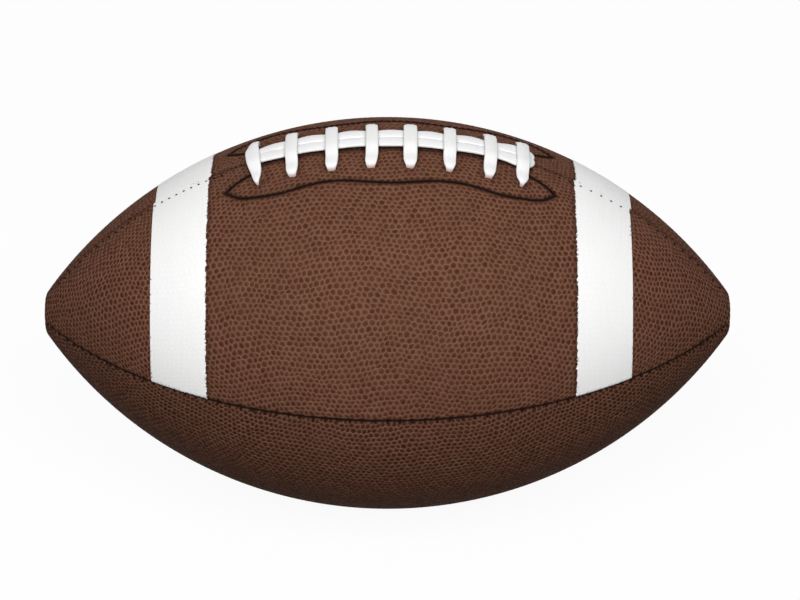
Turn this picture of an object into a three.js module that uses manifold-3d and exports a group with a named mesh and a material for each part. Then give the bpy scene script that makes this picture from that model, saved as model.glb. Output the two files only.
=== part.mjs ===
// An american football of the smallest youth size, built as it comes apart on a bench: four cover panels
// with their linings, the bladder with its valve, the facings and the guard flap under the lace, the lace
// in one length, the white stripe films and the threads of the seams.
//
// Millimetres. +X runs along the ball, +Z comes out through the lace, and the origin is the ball's middle.
// Places on the ball are given as x along it, s round it from the lace seam towards the front (-Y), and
// h out of the cover's surface. Depth is measured the other way, inwards from that surface.

import * as THREE from "three";
import { mergeVertices } from "three/addons/utils/BufferGeometryUtils.js";
import Module from "manifold-3d";

const wasm = await Module();
wasm.setup();

// Sizes of the ball
const LENGTH = 255; // nose to nose
const DIAMETER = 146.1; // across the middle, over the cover
const NOSE_FLAT = 5; // radius of the blunt flat at each nose
const NOSE_ROUND = 6; // radius between that flat and the long arc from nose to nose
const NOSE_HOLE = 0.8; // radius of the pinhole where four panel tips meet

// Sheets and clearances
const COVER = 2.0;
const LINING = 1.2;
const FACING = 1.2;
const FLAP = 1.2;
const BLADDER_WALL = 0.9;
const STRIPE_FILM = 0.3;
const GAP = 0.3; // between sheets that lie on each other, and between panels in a seam
const BLADDER_EASE = 0.6; // a blown-up bladder stops this far short of the lining
const FACING_EASE = 0.5; // between the cover and a facing, whose flats differ

// Seams: each panel's edge is bevelled and turned inwards as a flange
const SEAM_BEVEL = 1.6;
const FLANGE_STEP = 0.15; // slope of the flange's inner side
const FULL_LIP_RADIUS = 12; // nearer the axis than this, the lips narrow with the panel
const THREAD = 0.7; // diameter
const THREAD_TO_NOSE = 5.5; // a seam's thread stops this far short of a nose
const LACE_SEAM_SEWN = 12.6; // the lace seam is sewn from this far past the end crossings

// Lace
const LACE_WIDTH = 4.8;
const LACE_THICKNESS = 1.6;
const LACE_EDGE = 0.5; // how far its rounded edges reach in
const LACE_BEND = 1.2; // radius of its middle where it turns into a hole
const LACE_FLAT_TURN = 3; // radius of its middle where it turns flat, inside the ball
const CROSSINGS = 8;
const CROSSING_PITCH = 14.2;
const END_PITCH = 12; // the first and last crossings sit closer
const LACE_MIDDLE = 1.1; // x of the middle of the crossings
const HOLE_REACH = 14; // from the lace seam to each hole's middle
const HOLE_EASE = 0.35; // all round the lace in its holes
const STRAND_MIDDLE = -1.5; // s halfway between the two lengthwise strands
const STRAND_PITCH = 5.6;
const STRAND_HOLE_STEP = 3.6; // from the first crossing to where the strands dive
const LOOP_STEP = -0.4; // from the last crossing to the middle of the strands' turn back
const TAIL = 9.5; // hidden tails
const SHELF_OVERHANG = 1.2; // a crossing stays level this far past the strands
const RAMP = 3.8; // s that it then takes to come down to the cover

// Facings, and the wavy stitch that holds each
const WAVE_MIDDLE = 21.3;
const WAVE_HEIGHT = 1.2;
const WAVE_LENGTH = 46;
const LEAF_PAST = [6.9, 12.6, 8.4, 4.9]; // of its leaf points, past the end crossings
const LEAF_SHARE = [0.885, 0.645, 0.47, 0.41]; // of WAVE_MIDDLE, their places from the lace seam
const FACING_MARGIN = 2.6; // outside the stitch
const FACING_TAPER = 12; // x over which a facing narrows to its ends
const FACING_END = 0.7; // share of its width that is left there
const STITCH_THREAD = 0.8;

// Guard flap under the lace
const FLAP_PAST_LACE = 7; // at each end
const FLAP_PAST_HOLES = 4; // at each side

// Stripes on the two upper panels: x of each inner edge, and the width
const STRIPE_INNER = [-65.2, 68.2];
const STRIPE_WIDTH = 20.5;

// Valve, in the middle of the rear upper panel
const VALVE_HEAD = 6.4; // diameter in the cover
const VALVE_FLANGE = 16.6;
const VALVE_FLANGE_THICKNESS = 1.2;
const VALVE_TUBE = 8.8;
const VALVE_LENGTH = 12.8;
const VALVE_SUNK = 0.2; // below the cover
const VALVE_EASE = 0.4;
const PLUG = 4.0;
const PLUG_EASE = 0.3;
const NEEDLE_HOLE = 0.9;
const NEEDLE_FUNNEL = 2.2;
const PLUG_SEAT = 3.2; // how far under the head the plug starts

// How finely round forms are cut into flats
const ARC_STEPS = 18;
const PANEL_STEPS = 9;
const BLADDER_SIDES = 20;
const VALVE_SIDES = 20;
const LACE_STRAND_STEPS = 12;
const LACE_LOOP_STEPS = 6;
const LACE_BEND_STEPS = 2;
const LACE_SLANT_STEPS = 5; // of each hidden slanting run
const WAVE_STEPS = 12;
const STITCH_STEPS = 38;
const FACING_STEPS = [12, 4];
const FLAP_STEPS = [10, 6];

// Sizes that follow from those above
const QUARTER = Math.PI / 2;
const HALF_LENGTH = LENGTH / 2;
const NOSE_CENTRE = HALF_LENGTH - NOSE_ROUND;
const PROFILE_RADIUS = profileRadius();
const ARC_SINK = PROFILE_RADIUS - DIAMETER / 2; // the arc's centre lies this far beyond the axis
const ARC_LEAN = Math.asin(NOSE_CENTRE / (PROFILE_RADIUS - NOSE_ROUND)); // of the arc's last normal
const LINING_TOP = COVER + GAP;
const LINING_FLOOR = LINING_TOP + LINING;
const FACING_TOP = COVER + FACING_EASE;
const FACING_FLOOR = FACING_TOP + FACING;
const LACE_INSIDE = Math.max(LINING_FLOOR, FACING_FLOOR) + GAP + LACE_THICKNESS / 2;
const FLAP_TOP = LACE_INSIDE + LACE_THICKNESS / 2 + GAP;
const BLADDER_TOP = LINING_FLOOR + BLADDER_EASE;
const BLADDER_DENT = FLAP_TOP + FLAP + GAP - BLADDER_TOP; // under the lace, the flap presses it in
const FLANGE_INSIDE = SEAM_BEVEL + FLANGE_STEP;
const LINING_EDGE = FLANGE_INSIDE + GAP;
const STRAND_HEIGHT = GAP + LACE_THICKNESS / 2;
const SHELF_HEIGHT = STRAND_HEIGHT + LACE_THICKNESS + GAP;
const STRANDS = [STRAND_MIDDLE - STRAND_PITCH / 2, STRAND_MIDDLE + STRAND_PITCH / 2];
const STRAND_HALF = (STRAND_PITCH + LACE_WIDTH) / 2; // from the middle of both strands to their outer edge
const CROSSING_X = crossingPlaces();
const [FIRST_X, LAST_X] = [CROSSING_X[0], CROSSING_X[CROSSINGS - 1]];
const STRAND_DIVE_X = FIRST_X - STRAND_HOLE_STEP;
const LOOP_X = LAST_X + LOOP_STEP;
const FLAP_ENDS = [STRAND_DIVE_X - TAIL - FLAP_PAST_LACE, LAST_X + LACE_WIDTH / 2 + FLAP_PAST_LACE];
const FLAP_SIDE = HOLE_REACH + FLAP_PAST_HOLES;
const STRIPE_FROM_SEAM = SEAM_BEVEL + GAP;
const VALVE_ANGLE = -QUARTER / 2;
const VALVE_FALL = fall(DIAMETER / 2 - COVER, VALVE_FLANGE / 2); // of the cover's inside at the flange's rim

const MATERIALS = {
  cover: new THREE.MeshStandardMaterial({ color: 0x68442f, roughness: 0.55, metalness: 0 }),
  lining: new THREE.MeshStandardMaterial({ color: 0xb9ad97, roughness: 0.95, metalness: 0 }),
  facing: new THREE.MeshStandardMaterial({ color: 0x4a3328, roughness: 0.8, metalness: 0 }),
  bladder: new THREE.MeshStandardMaterial({ color: 0x1c1b1b, roughness: 0.5, metalness: 0 }),
  valve: new THREE.MeshStandardMaterial({ color: 0x2a2624, roughness: 0.6, metalness: 0 }),
  lace: new THREE.MeshStandardMaterial({ color: 0xeeece8, roughness: 0.4, metalness: 0 }),
  stripe: new THREE.MeshStandardMaterial({ color: 0xf2f2f0, roughness: 0.5, metalness: 0 }),
  thread: new THREE.MeshStandardMaterial({ color: 0x1a1716, roughness: 0.8, metalness: 0 }),
};

// Radius of the arc that runs over the ball's middle and into the rounding of each nose.
function profileRadius() {
  const rise = DIAMETER / 2 - NOSE_FLAT;
  return (NOSE_CENTRE ** 2 + rise ** 2 - NOSE_ROUND ** 2) / (2 * (rise - NOSE_ROUND));
}

// x of each crossing: evenly spaced, with the two end ones drawn in.
function crossingPlaces() {
  const inner = CROSSINGS - 2;
  const first = LACE_MIDDLE - ((inner - 1) * CROSSING_PITCH) / 2;
  const places = Array.from({ length: inner }, (_, k) => first + k * CROSSING_PITCH);
  return [places[0] - END_PITCH, ...places, places[inner - 1] + END_PITCH];
}

// How far a circle falls away from its tangent at a distance along it.
function fall(radius, distance) {
  return radius - Math.sqrt(radius ** 2 - distance ** 2);
}

function range(count) {
  return Array.from({ length: count }, (_, k) => k);
}

// The point at an angle round the ball from the lace seam, r out from its axis.
function polar(x, r, angle) {
  return new THREE.Vector3(x, -r * Math.sin(angle), r * Math.cos(angle));
}

// A station of the ball's profile is a circle's centre and radius, and the lean of the normal there.
function arcStation(lean) {
  return { x: 0, r: -ARC_SINK, radius: PROFILE_RADIUS, lean };
}

function noseStation(end, lean, r) {
  return { x: end * NOSE_CENTRE, r, radius: NOSE_ROUND, lean: end * lean };
}

function below(station, depth) {
  const reach = station.radius - depth;
  return {
    x: station.x + reach * Math.sin(station.lean),
    r: station.r + reach * Math.cos(station.lean),
  };
}

// The stations of one nose, from where the arc ends to its flat and the pinhole.
function noseStations(end) {
  const half = (ARC_LEAN + QUARTER) / 2;
  return [
    noseStation(end, half, NOSE_FLAT),
    noseStation(end, QUARTER, NOSE_FLAT),
    noseStation(end, QUARTER, NOSE_HOLE),
  ];
}

const BODY_ROWS = range(ARC_STEPS + 1).map((k) => arcStation(ARC_LEAN * ((2 * k) / ARC_STEPS - 1)));
const COVER_ROWS = [...noseStations(-1).reverse(), ...BODY_ROWS, ...noseStations(1)];

// The point at x, s and h on the long arc of the ball.
function onBall(x, s, h) {
  const station = arcStation(Math.asin(x / PROFILE_RADIUS));
  const place = below(station, -h);
  return polar(place.x, place.r, s / below(station, 0).r);
}

// A closed body from points and triangles, turned so that its faces point out.
function bodyFrom(points, index) {
  const volume = index.reduce((sum, _, k) => {
    if (k % 3) return sum;
    const [a, b, c] = [0, 1, 2].map((n) => points[index[k + n]]);
    return sum + a.dot(new THREE.Vector3().crossVectors(b, c));
  }, 0);
  const geometry = new THREE.BufferGeometry().setFromPoints(points);
  geometry.setIndex(volume < 0 ? [...index].reverse() : index);
  return geometry;
}

// A slab between two sheets of points, each a list of rows.
function slab(top, floor) {
  const rows = top.length;
  const columns = top[0].length;
  const index = [];
  const at = (side, i, j) => (side * rows + i) * columns + j;
  const quad = (a, b, c, d) => index.push(a, b, c, a, c, d);
  const endRow = rows - 1;
  const endColumn = columns - 1;
  for (const i of range(endRow)) {
    for (const j of range(endColumn)) {
      quad(at(0, i, j), at(0, i + 1, j), at(0, i + 1, j + 1), at(0, i, j + 1));
      quad(at(1, i, j), at(1, i, j + 1), at(1, i + 1, j + 1), at(1, i + 1, j));
    }
    quad(at(0, i, 0), at(1, i, 0), at(1, i + 1, 0), at(0, i + 1, 0));
    quad(at(0, i, endColumn), at(0, i + 1, endColumn), at(1, i + 1, endColumn), at(1, i, endColumn));
  }
  for (const j of range(endColumn)) {
    quad(at(0, 0, j), at(0, 0, j + 1), at(1, 0, j + 1), at(1, 0, j));
    quad(at(0, endRow, j), at(1, endRow, j), at(1, endRow, j + 1), at(0, endRow, j + 1));
  }
  return bodyFrom([...top.flat(), ...floor.flat()], index);
}

// A closed skin over rings of points, with a fan over each end ring.
function skin(rings) {
  const sides = rings[0].length;
  const points = rings.flat();
  const index = [];
  for (const i of range(rings.length - 1)) {
    for (const j of range(sides)) {
      const [a, b] = [i * sides + j, i * sides + ((j + 1) % sides)];
      index.push(a, a + sides, b + sides, a, b + sides, b);
    }
  }
  const fan = (ring, turned) => {
    const middle = points.length;
    const centre = ring.reduce((sum, p) => sum.add(p), new THREE.Vector3()).divideScalar(sides);
    const start = turned ? 0 : (rings.length - 1) * sides;
    points.push(centre);
    for (const j of range(sides)) {
      const [a, b] = [start + j, start + ((j + 1) % sides)];
      index.push(...(turned ? [middle, a, b] : [middle, b, a]));
    }
  };
  fan(rings[0], true);
  fan(rings[rings.length - 1], false);
  return bodyFrom(points, index);
}

function toSolid(geometry) {
  const bare = geometry.clone();
  bare.deleteAttribute("normal");
  bare.deleteAttribute("uv");
  const merged = mergeVertices(bare);
  const vertProperties = new Float32Array(merged.getAttribute("position").array);
  const triVerts = new Uint32Array(merged.getIndex().array);
  return new wasm.Manifold(new wasm.Mesh({ numProp: 3, vertProperties, triVerts }));
}

function toGeometry(solid) {
  const mesh = solid.getMesh();
  const geometry = new THREE.BufferGeometry();
  geometry.setAttribute("position", new THREE.BufferAttribute(mesh.vertProperties, 3));
  geometry.setIndex(new THREE.BufferAttribute(mesh.triVerts, 1));
  return geometry;
}

function cut(geometry, cutters) {
  return toGeometry(cutters.reduce((solid, cutter) => solid.subtract(toSolid(cutter)), toSolid(geometry)));
}

// A column of a panel is set in from its first seam or its second, or is a share of the way between the
// columns set in that far. The angle it makes from the first seam depends on the radius.
function columnAngle(column, r) {
  const squeeze = Math.min(1, r / FULL_LIP_RADIUS);
  const first = Math.asin((GAP / 2 + column.inset * squeeze) / r);
  return first + (QUARTER - 2 * first) * column.share;
}

// Evenly spaced values from one to another, both included.
function spread(from, to, steps) {
  return range(steps + 1).map((k) => from + ((to - from) * k) / steps);
}

const between = (inset, steps) => spread(0, 1, steps).map((share) => ({ inset, share }));

// One sheet of a panel, with the depth of each column.
function sheet(start, rows, columns, depths) {
  return rows.map((station) => {
    const squeeze = Math.min(1, below(station, 0).r / FULL_LIP_RADIUS);
    return columns.map((column, j) => {
      const lip = column.bevelled ? SEAM_BEVEL * squeeze : 0;
      const place = below(station, depths[j] + lip);
      return polar(place.x, place.r, start + columnAngle(column, place.r));
    });
  });
}

// A cover panel: a bevelled lip and an inward flange at each seam, and the cover's thickness between.
function panel(start) {
  const edge = (share) => [
    { inset: 0, share, bevelled: true },
    { inset: SEAM_BEVEL, share },
  ];
  const middle = between(FLANGE_INSIDE, PANEL_STEPS);
  const columns = [...edge(0), ...middle, ...edge(1).reverse()];
  const floorColumns = columns.map((column) => ({ ...column, bevelled: false }));
  const flange = [LINING_FLOOR, LINING_FLOOR];
  const top = columns.map(() => 0);
  const floor = [...flange, ...middle.map(() => COVER), ...flange];
  return slab(sheet(start, COVER_ROWS, columns, top), sheet(start, COVER_ROWS, floorColumns, floor));
}

function liningSheet(start) {
  const columns = between(LINING_EDGE, PANEL_STEPS);
  const level = (depth) => columns.map(() => depth);
  return slab(
    sheet(start, BODY_ROWS, columns, level(LINING_TOP)),
    sheet(start, BODY_ROWS, columns, level(LINING_FLOOR)),
  );
}

function stripe(start, inner, outer) {
  const leans = [inner, (inner + outer) / 2, outer].map((x) => Math.asin(x / PROFILE_RADIUS));
  const columns = between(STRIPE_FROM_SEAM, PANEL_STEPS);
  const rows = leans.map(arcStation);
  const level = (height) => columns.map(() => -height);
  return slab(
    sheet(start, rows, columns, level(GAP + STRIPE_FILM)),
    sheet(start, rows, columns, level(GAP)),
  );
}

// s of the wavy stitch at x.
function wave(x) {
  return WAVE_MIDDLE + WAVE_HEIGHT * Math.cos((2 * Math.PI * (x - LACE_MIDDLE)) / WAVE_LENGTH);
}

// The stitch's whole route on the front panel: a leaf point at each end, and the wave between.
function stitchCurve(side) {
  const waves = spread(FIRST_X, LAST_X, WAVE_STEPS);
  const leftLeaf = LEAF_PAST.map((past, k) => [FIRST_X - past, LEAF_SHARE[k] * WAVE_MIDDLE]).reverse();
  const rightLeaf = LEAF_PAST.map((past, k) => [LAST_X + past, LEAF_SHARE[k] * WAVE_MIDDLE]);
  const route = [...leftLeaf, ...waves.map((x) => [x, wave(x)]), ...rightLeaf];
  const height = GAP + STITCH_THREAD / 2;
  return new THREE.CatmullRomCurve3(route.map(([x, s]) => onBall(x, side * s, height)), false, "centripetal");
}

// A facing from the flange out past the stitch. Grown, it is the space that the lining leaves for it.
function facing(side, grow, top, floor) {
  const pastLace = Math.max(...LEAF_PAST) + FACING_MARGIN + grow;
  const ends = [FIRST_X - pastLace, LAST_X + pastLace];
  const shares = spread(0, 1, FACING_STEPS[1]);
  const inner = GAP / 2 + (grow > 0 ? 0 : LINING_EDGE);
  const outline = spread(...ends, FACING_STEPS[0]).map((x) => {
    const nearEnd = Math.min(x - ends[0], ends[1] - x) / FACING_TAPER;
    const width = Math.min(1, FACING_END + (1 - FACING_END) * nearEnd);
    return { x, outer: (WAVE_MIDDLE + WAVE_HEIGHT + FACING_MARGIN) * width + grow };
  });
  const level = (h) =>
    outline.map(({ x, outer }) => shares.map((k) => onBall(x, side * (inner + (outer - inner) * k), h)));
  return slab(level(-top), level(-floor));
}

// A block that stands through the sheets at x and s, square to the surface there.
function through(x, s, lengthX, widthS) {
  const lean = Math.asin(x / PROFILE_RADIUS);
  const depth = 4 * LACE_INSIDE;
  const block = new THREE.BoxGeometry(lengthX, widthS, depth);
  const angle = s / below(arcStation(lean), 0).r;
  const turn = new THREE.Quaternion().setFromAxisAngle(new THREE.Vector3(1, 0, 0), angle);
  const tilt = new THREE.Quaternion().setFromAxisAngle(new THREE.Vector3(0, 1, 0), lean);
  block.applyQuaternion(turn.multiply(tilt));
  const middle = onBall(x, s, 0);
  return block.translate(middle.x, middle.y, middle.z);
}

// The holes for the lace on one side, with the wider one where both strands dive at the seam.
function laceHoles(side) {
  const slotLength = LACE_WIDTH + 2 * HOLE_EASE;
  const slotWidth = LACE_THICKNESS + 2 * HOLE_EASE;
  const strandHole = through(STRAND_DIVE_X, STRAND_MIDDLE, slotWidth, 2 * (STRAND_HALF + HOLE_EASE));
  return [...CROSSING_X.map((x) => through(x, side * HOLE_REACH, slotLength, slotWidth)), strandHole];
}

// The lace's corners as x, s, h, the heading of its width in degrees from +X towards +s, and the radius
// of the bend there.
function laceCorners() {
  const inside = -LACE_INSIDE;
  const [rear, front] = STRANDS;
  const last = CROSSING_X.length - 1;
  const over = LACE_BEND;
  const strand = (s, heading, from, to) => {
    const xs = spread(from, to, LACE_STRAND_STEPS).slice(1, -1);
    return xs.map((x) => [x, s, STRAND_HEIGHT, heading, 0]);
  };
  const loop = spread(-90, 90, LACE_LOOP_STEPS).map((degrees) => {
    const turn = THREE.MathUtils.degToRad(degrees);
    const [x, s] = [LOOP_X + (STRAND_PITCH / 2) * Math.cos(turn), (STRAND_PITCH / 2) * Math.sin(turn)];
    return [x, STRAND_MIDDLE + s, STRAND_HEIGHT, 180 + degrees, 0];
  });
  const slantShares = range(LACE_SLANT_STEPS).map((k) => (k + 0.6) / (LACE_SLANT_STEPS + 0.2));
  const corners = [
    [STRAND_DIVE_X - TAIL, rear, inside, 90, 0],
    [STRAND_DIVE_X, rear, inside, 90, over],
    [STRAND_DIVE_X, rear, STRAND_HEIGHT, 90, over],
    ...strand(rear, 90, STRAND_DIVE_X, LOOP_X),
    ...loop,
    ...strand(front, 270, LOOP_X, STRAND_DIVE_X),
    [STRAND_DIVE_X, front, STRAND_HEIGHT, 270, over],
    [STRAND_DIVE_X, front, inside, 270, over],
    [FIRST_X, front, inside, 315, LACE_FLAT_TURN],
    [FIRST_X, (front + HOLE_REACH) / 2, inside, 360, 0],
  ];
  const shelf = [STRAND_MIDDLE + STRAND_HALF + SHELF_OVERHANG, STRAND_MIDDLE - STRAND_HALF - SHELF_OVERHANG];
  CROSSING_X.forEach((x, k) => {
    corners.push(
      [x, HOLE_REACH, inside, 360, over],
      [x, HOLE_REACH, STRAND_HEIGHT, 360, over],
      [x, shelf[0] + RAMP, STRAND_HEIGHT, 360, over],
      [x, shelf[0], SHELF_HEIGHT, 360, over],
      [x, STRAND_MIDDLE, SHELF_HEIGHT, 360, 0],
      [x, shelf[1], SHELF_HEIGHT, 360, over],
      [x, shelf[1] - RAMP, STRAND_HEIGHT, 360, over],
      [x, -HOLE_REACH, STRAND_HEIGHT, 360, over],
      [x, -HOLE_REACH, inside, 360, over],
    );
    if (k === last) return;
    const step = CROSSING_X[k + 1] - x;
    const heading = 360 - THREE.MathUtils.radToDeg(Math.atan2(step, 2 * HOLE_REACH));
    for (const share of slantShares) {
      corners.push([x + step * share, HOLE_REACH * (2 * share - 1), inside, heading, 0]);
    }
  });
  corners.push([LAST_X, TAIL - HOLE_REACH, inside, 360, 0]);
  return corners;
}

// The corners with each bend rounded: a short curve from a little before the corner to a little after.
function roundedRoute(corners) {
  const mix = (a, b, t) => a.map((value, n) => value + (b[n] - value) * t);
  const apart = (a, b) => Math.hypot(a[0] - b[0], a[1] - b[1], a[2] - b[2]);
  return corners.flatMap((corner, k) => {
    const bend = corner[4];
    if (!bend) return [corner];
    const [before, after] = [corners[k - 1], corners[k + 1]];
    const [back, on] = [apart(corner, before), apart(corner, after)];
    const start = mix(corner, before, Math.min(bend / back, 0.5));
    const end = mix(corner, after, Math.min(bend / on, 0.5));
    return spread(0, 1, LACE_BEND_STEPS).map((t) => mix(mix(start, corner, t), mix(corner, end, t), t));
  });
}

// The direction of a line of points at its kth, from the one before to the one after.
function directionAt(points, k) {
  const next = points[Math.min(k + 1, points.length - 1)];
  return next.clone().sub(points[Math.max(k - 1, 0)]).normalize();
}

// The lace: a flat band with rounded edges, carried along its route with its width held to its heading.
function lace() {
  const route = roundedRoute(laceCorners());
  const points = route.map(([x, s, h]) => onBall(x, s, h));
  const half = LACE_WIDTH / 2;
  const flat = half - LACE_EDGE;
  const thick = LACE_THICKNESS / 2;
  const outline = [[half, 0], [flat, thick], [-flat, thick], [-half, 0], [-flat, -thick], [flat, -thick]];
  const probe = 0.01;
  const rings = route.map(([x, s, h, heading], k) => {
    const here = points[k];
    const along = directionAt(points, k);
    const turn = THREE.MathUtils.degToRad(heading);
    const width = onBall(x + probe * Math.cos(turn), s + probe * Math.sin(turn), h).sub(here);
    width.addScaledVector(along, -width.dot(along)).normalize();
    const up = new THREE.Vector3().crossVectors(along, width);
    return outline.map(([a, b]) => here.clone().addScaledVector(width, a).addScaledVector(up, b));
  });
  return skin(rings);
}

// A thread along points on the ball, square in section with a corner outwards.
function thread(points, diameter) {
  const rings = points.map((here, k) => {
    const along = directionAt(points, k);
    const out = new THREE.Vector3(0, here.y, here.z).normalize();
    out.addScaledVector(along, -out.dot(along)).normalize();
    const side = new THREE.Vector3().crossVectors(along, out);
    return [0, 1, 2, 3].map((n) => {
      const turn = n * QUARTER;
      const offset = out.clone().multiplyScalar(Math.cos(turn)).addScaledVector(side, Math.sin(turn));
      return here.clone().addScaledVector(offset, diameter / 2);
    });
  });
  return skin(rings);
}

// A seam's thread between two places along the ball, low in the groove between the bevels.
function seamThread(angle, from, to) {
  const depth = GAP / 2 + SEAM_BEVEL - Math.SQRT2 * (THREAD / 2 + GAP);
  const steps = Math.max(4, Math.round((ARC_STEPS * (to - from)) / LENGTH));
  const leans = [from, to].map((x) => Math.asin(x / PROFILE_RADIUS));
  const points = spread(...leans, steps).map((lean) => {
    const place = below(arcStation(lean), depth);
    return polar(place.x, place.r, angle);
  });
  return thread(points, THREAD);
}

function stitch(side) {
  return thread(stitchCurve(side).getSpacedPoints(STITCH_STEPS), STITCH_THREAD);
}

function guardFlap() {
  const xs = spread(...FLAP_ENDS, FLAP_STEPS[0]);
  const sides = spread(-FLAP_SIDE, FLAP_SIDE, FLAP_STEPS[1]);
  const level = (depth) => xs.map((x) => sides.map((s) => onBall(x, s, -depth)));
  return slab(level(FLAP_TOP), level(FLAP_TOP + FLAP));
}

// Turns a form made about the Y axis, with Y as the height over the cover, to the valve's place.
function atValve(geometry) {
  const outwards = polar(0, 1, VALVE_ANGLE);
  geometry.applyQuaternion(new THREE.Quaternion().setFromUnitVectors(new THREE.Vector3(0, 1, 0), outwards));
  const middle = outwards.multiplyScalar(DIAMETER / 2);
  return geometry.translate(middle.x, middle.y, middle.z);
}

function valveHole(diameter) {
  const length = 3 * VALVE_LENGTH;
  return atValve(new THREE.CylinderGeometry(diameter / 2, diameter / 2, length, VALVE_SIDES));
}

// Under the cover the flange is flat, so it starts lower than the lining by the cover's fall at its rim.
function valveHousing() {
  const flangeTop = COVER + FACING_EASE + VALVE_FALL;
  const flangeFloor = flangeTop + VALVE_FLANGE_THICKNESS;
  const bottom = VALVE_SUNK + VALVE_LENGTH;
  const seat = VALVE_SUNK + PLUG_SEAT;
  const bore = PLUG / 2 + PLUG_EASE;
  const outline = [
    [NEEDLE_FUNNEL / 2, VALVE_SUNK],
    [VALVE_HEAD / 2, VALVE_SUNK],
    [VALVE_HEAD / 2, flangeTop],
    [VALVE_FLANGE / 2, flangeTop],
    [VALVE_FLANGE / 2, flangeFloor],
    [VALVE_TUBE / 2, flangeFloor],
    [VALVE_TUBE / 2, bottom],
    [bore, bottom],
    [bore, seat],
    [NEEDLE_FUNNEL / 2, seat],
  ];
  return latheBody(outline);
}

function valvePlug() {
  const top = VALVE_SUNK + PLUG_SEAT + PLUG_EASE;
  const bottom = VALVE_SUNK + VALVE_LENGTH - PLUG_EASE;
  return latheBody([
    [NEEDLE_HOLE / 2, top],
    [PLUG / 2, top],
    [PLUG / 2, bottom],
    [NEEDLE_HOLE / 2, bottom],
  ]);
}

// A turned body from radii and depths, closed on itself and set at the valve's place.
function latheBody(outline) {
  const loop = [...outline, outline[0]].reverse().map(([r, depth]) => new THREE.Vector2(r, -depth));
  const turned = new THREE.LatheGeometry(loop, VALVE_SIDES);
  return atValve(toGeometry(toSolid(turned)));
}

// The bladder: a closed skin drawn in under the guard flap, hollowed, with its opening for the valve.
function bladder() {
  const row = LENGTH / ARC_STEPS;
  const flatReach = (FLAP_ENDS[1] - FLAP_ENDS[0]) / 2 + row;
  const flapMiddle = (FLAP_ENDS[0] + FLAP_ENDS[1]) / 2;
  const step = (2 * Math.PI) / BLADDER_SIDES;
  const flatAngle = Math.max(step, (2 * FLAP_SIDE) / DIAMETER + step / 4);
  const fade = (over) => 1 - Math.min(1, Math.max(0, over));
  const dent = (x, angle) => {
    const lengthwise = fade((Math.abs(x - flapMiddle) - flatReach) / row);
    const sideways = fade((Math.abs(angle) - flatAngle) / step);
    return BLADDER_DENT * lengthwise * sideways;
  };
  const rings = (depth, rows, sides) =>
    rows.map((station) =>
      range(sides).map((k) => {
        const angle = ((2 * Math.PI) / sides) * (k < sides / 2 ? k : k - sides);
        const place = below(station, depth + dent(below(station, depth).x, angle));
        return polar(place.x, place.r, angle);
      }),
    );
  const ends = (end) => [noseStation(end, QUARTER, NOSE_FLAT)];
  const rows = [...ends(-1), ...BODY_ROWS, ...ends(1)];
  const outside = skin(rings(BLADDER_TOP, rows, BLADDER_SIDES));
  const inside = skin(rings(BLADDER_TOP + BLADDER_WALL, BODY_ROWS, BLADDER_SIDES));
  return cut(outside, [inside, valveHole(VALVE_FLANGE + 2 * VALVE_EASE)]);
}

const ball = new THREE.Group();

function add(name, geometry, material) {
  const mesh = new THREE.Mesh(geometry, material);
  mesh.name = name;
  ball.add(mesh);
}

const upperSides = { front: 1, rear: -1 };
const coverHole = valveHole(VALVE_HEAD + 2 * VALVE_EASE);
const liningHole = valveHole(VALVE_FLANGE + 2 * VALVE_EASE);
const facingRoom = (side) => facing(side, GAP, COVER / 2, FLAP_TOP);

add("panel_front_upper", cut(panel(0), laceHoles(1)), MATERIALS.cover);
add("panel_rear_upper", cut(panel(-QUARTER), [...laceHoles(-1), coverHole]), MATERIALS.cover);
add("panel_front_lower", panel(QUARTER), MATERIALS.cover);
add("panel_rear_lower", panel(2 * QUARTER), MATERIALS.cover);

add("lining_front_upper", cut(liningSheet(0), [facingRoom(1)]), MATERIALS.lining);
add("lining_rear_upper", cut(liningSheet(-QUARTER), [facingRoom(-1), liningHole]), MATERIALS.lining);
add("lining_front_lower", liningSheet(QUARTER), MATERIALS.lining);
add("lining_rear_lower", liningSheet(2 * QUARTER), MATERIALS.lining);

for (const [name, side] of Object.entries(upperSides)) {
  const sheetOfFacing = facing(side, 0, FACING_TOP, FACING_FLOOR);
  add(`facing_${name}`, cut(sheetOfFacing, laceHoles(side)), MATERIALS.facing);
  add(`facing_stitch_${name}`, stitch(side), MATERIALS.thread);
  const start = side > 0 ? 0 : -QUARTER;
  const [left, right] = STRIPE_INNER;
  add(`stripe_${name}_left`, stripe(start, left - STRIPE_WIDTH, left), MATERIALS.stripe);
  add(`stripe_${name}_right`, stripe(start, right, right + STRIPE_WIDTH), MATERIALS.stripe);
}

add("guard_flap", guardFlap(), MATERIALS.lining);
add("bladder", bladder(), MATERIALS.bladder);
add("valve_housing", valveHousing(), MATERIALS.valve);
add("valve_plug", valvePlug(), MATERIALS.valve);
add("lace", lace(), MATERIALS.lace);

const threadEnd = HALF_LENGTH - THREAD_TO_NOSE;
add("seam_thread_front", seamThread(QUARTER, -threadEnd, threadEnd), MATERIALS.thread);
add("seam_thread_bottom", seamThread(2 * QUARTER, -threadEnd, threadEnd), MATERIALS.thread);
add("seam_thread_rear", seamThread(-QUARTER, -threadEnd, threadEnd), MATERIALS.thread);
add("seam_thread_lace_left", seamThread(0, -threadEnd, FIRST_X - LACE_SEAM_SEWN), MATERIALS.thread);
add("seam_thread_lace_right", seamThread(0, LAST_X + LACE_SEAM_SEWN, threadEnd), MATERIALS.thread);

export default ball;
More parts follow.
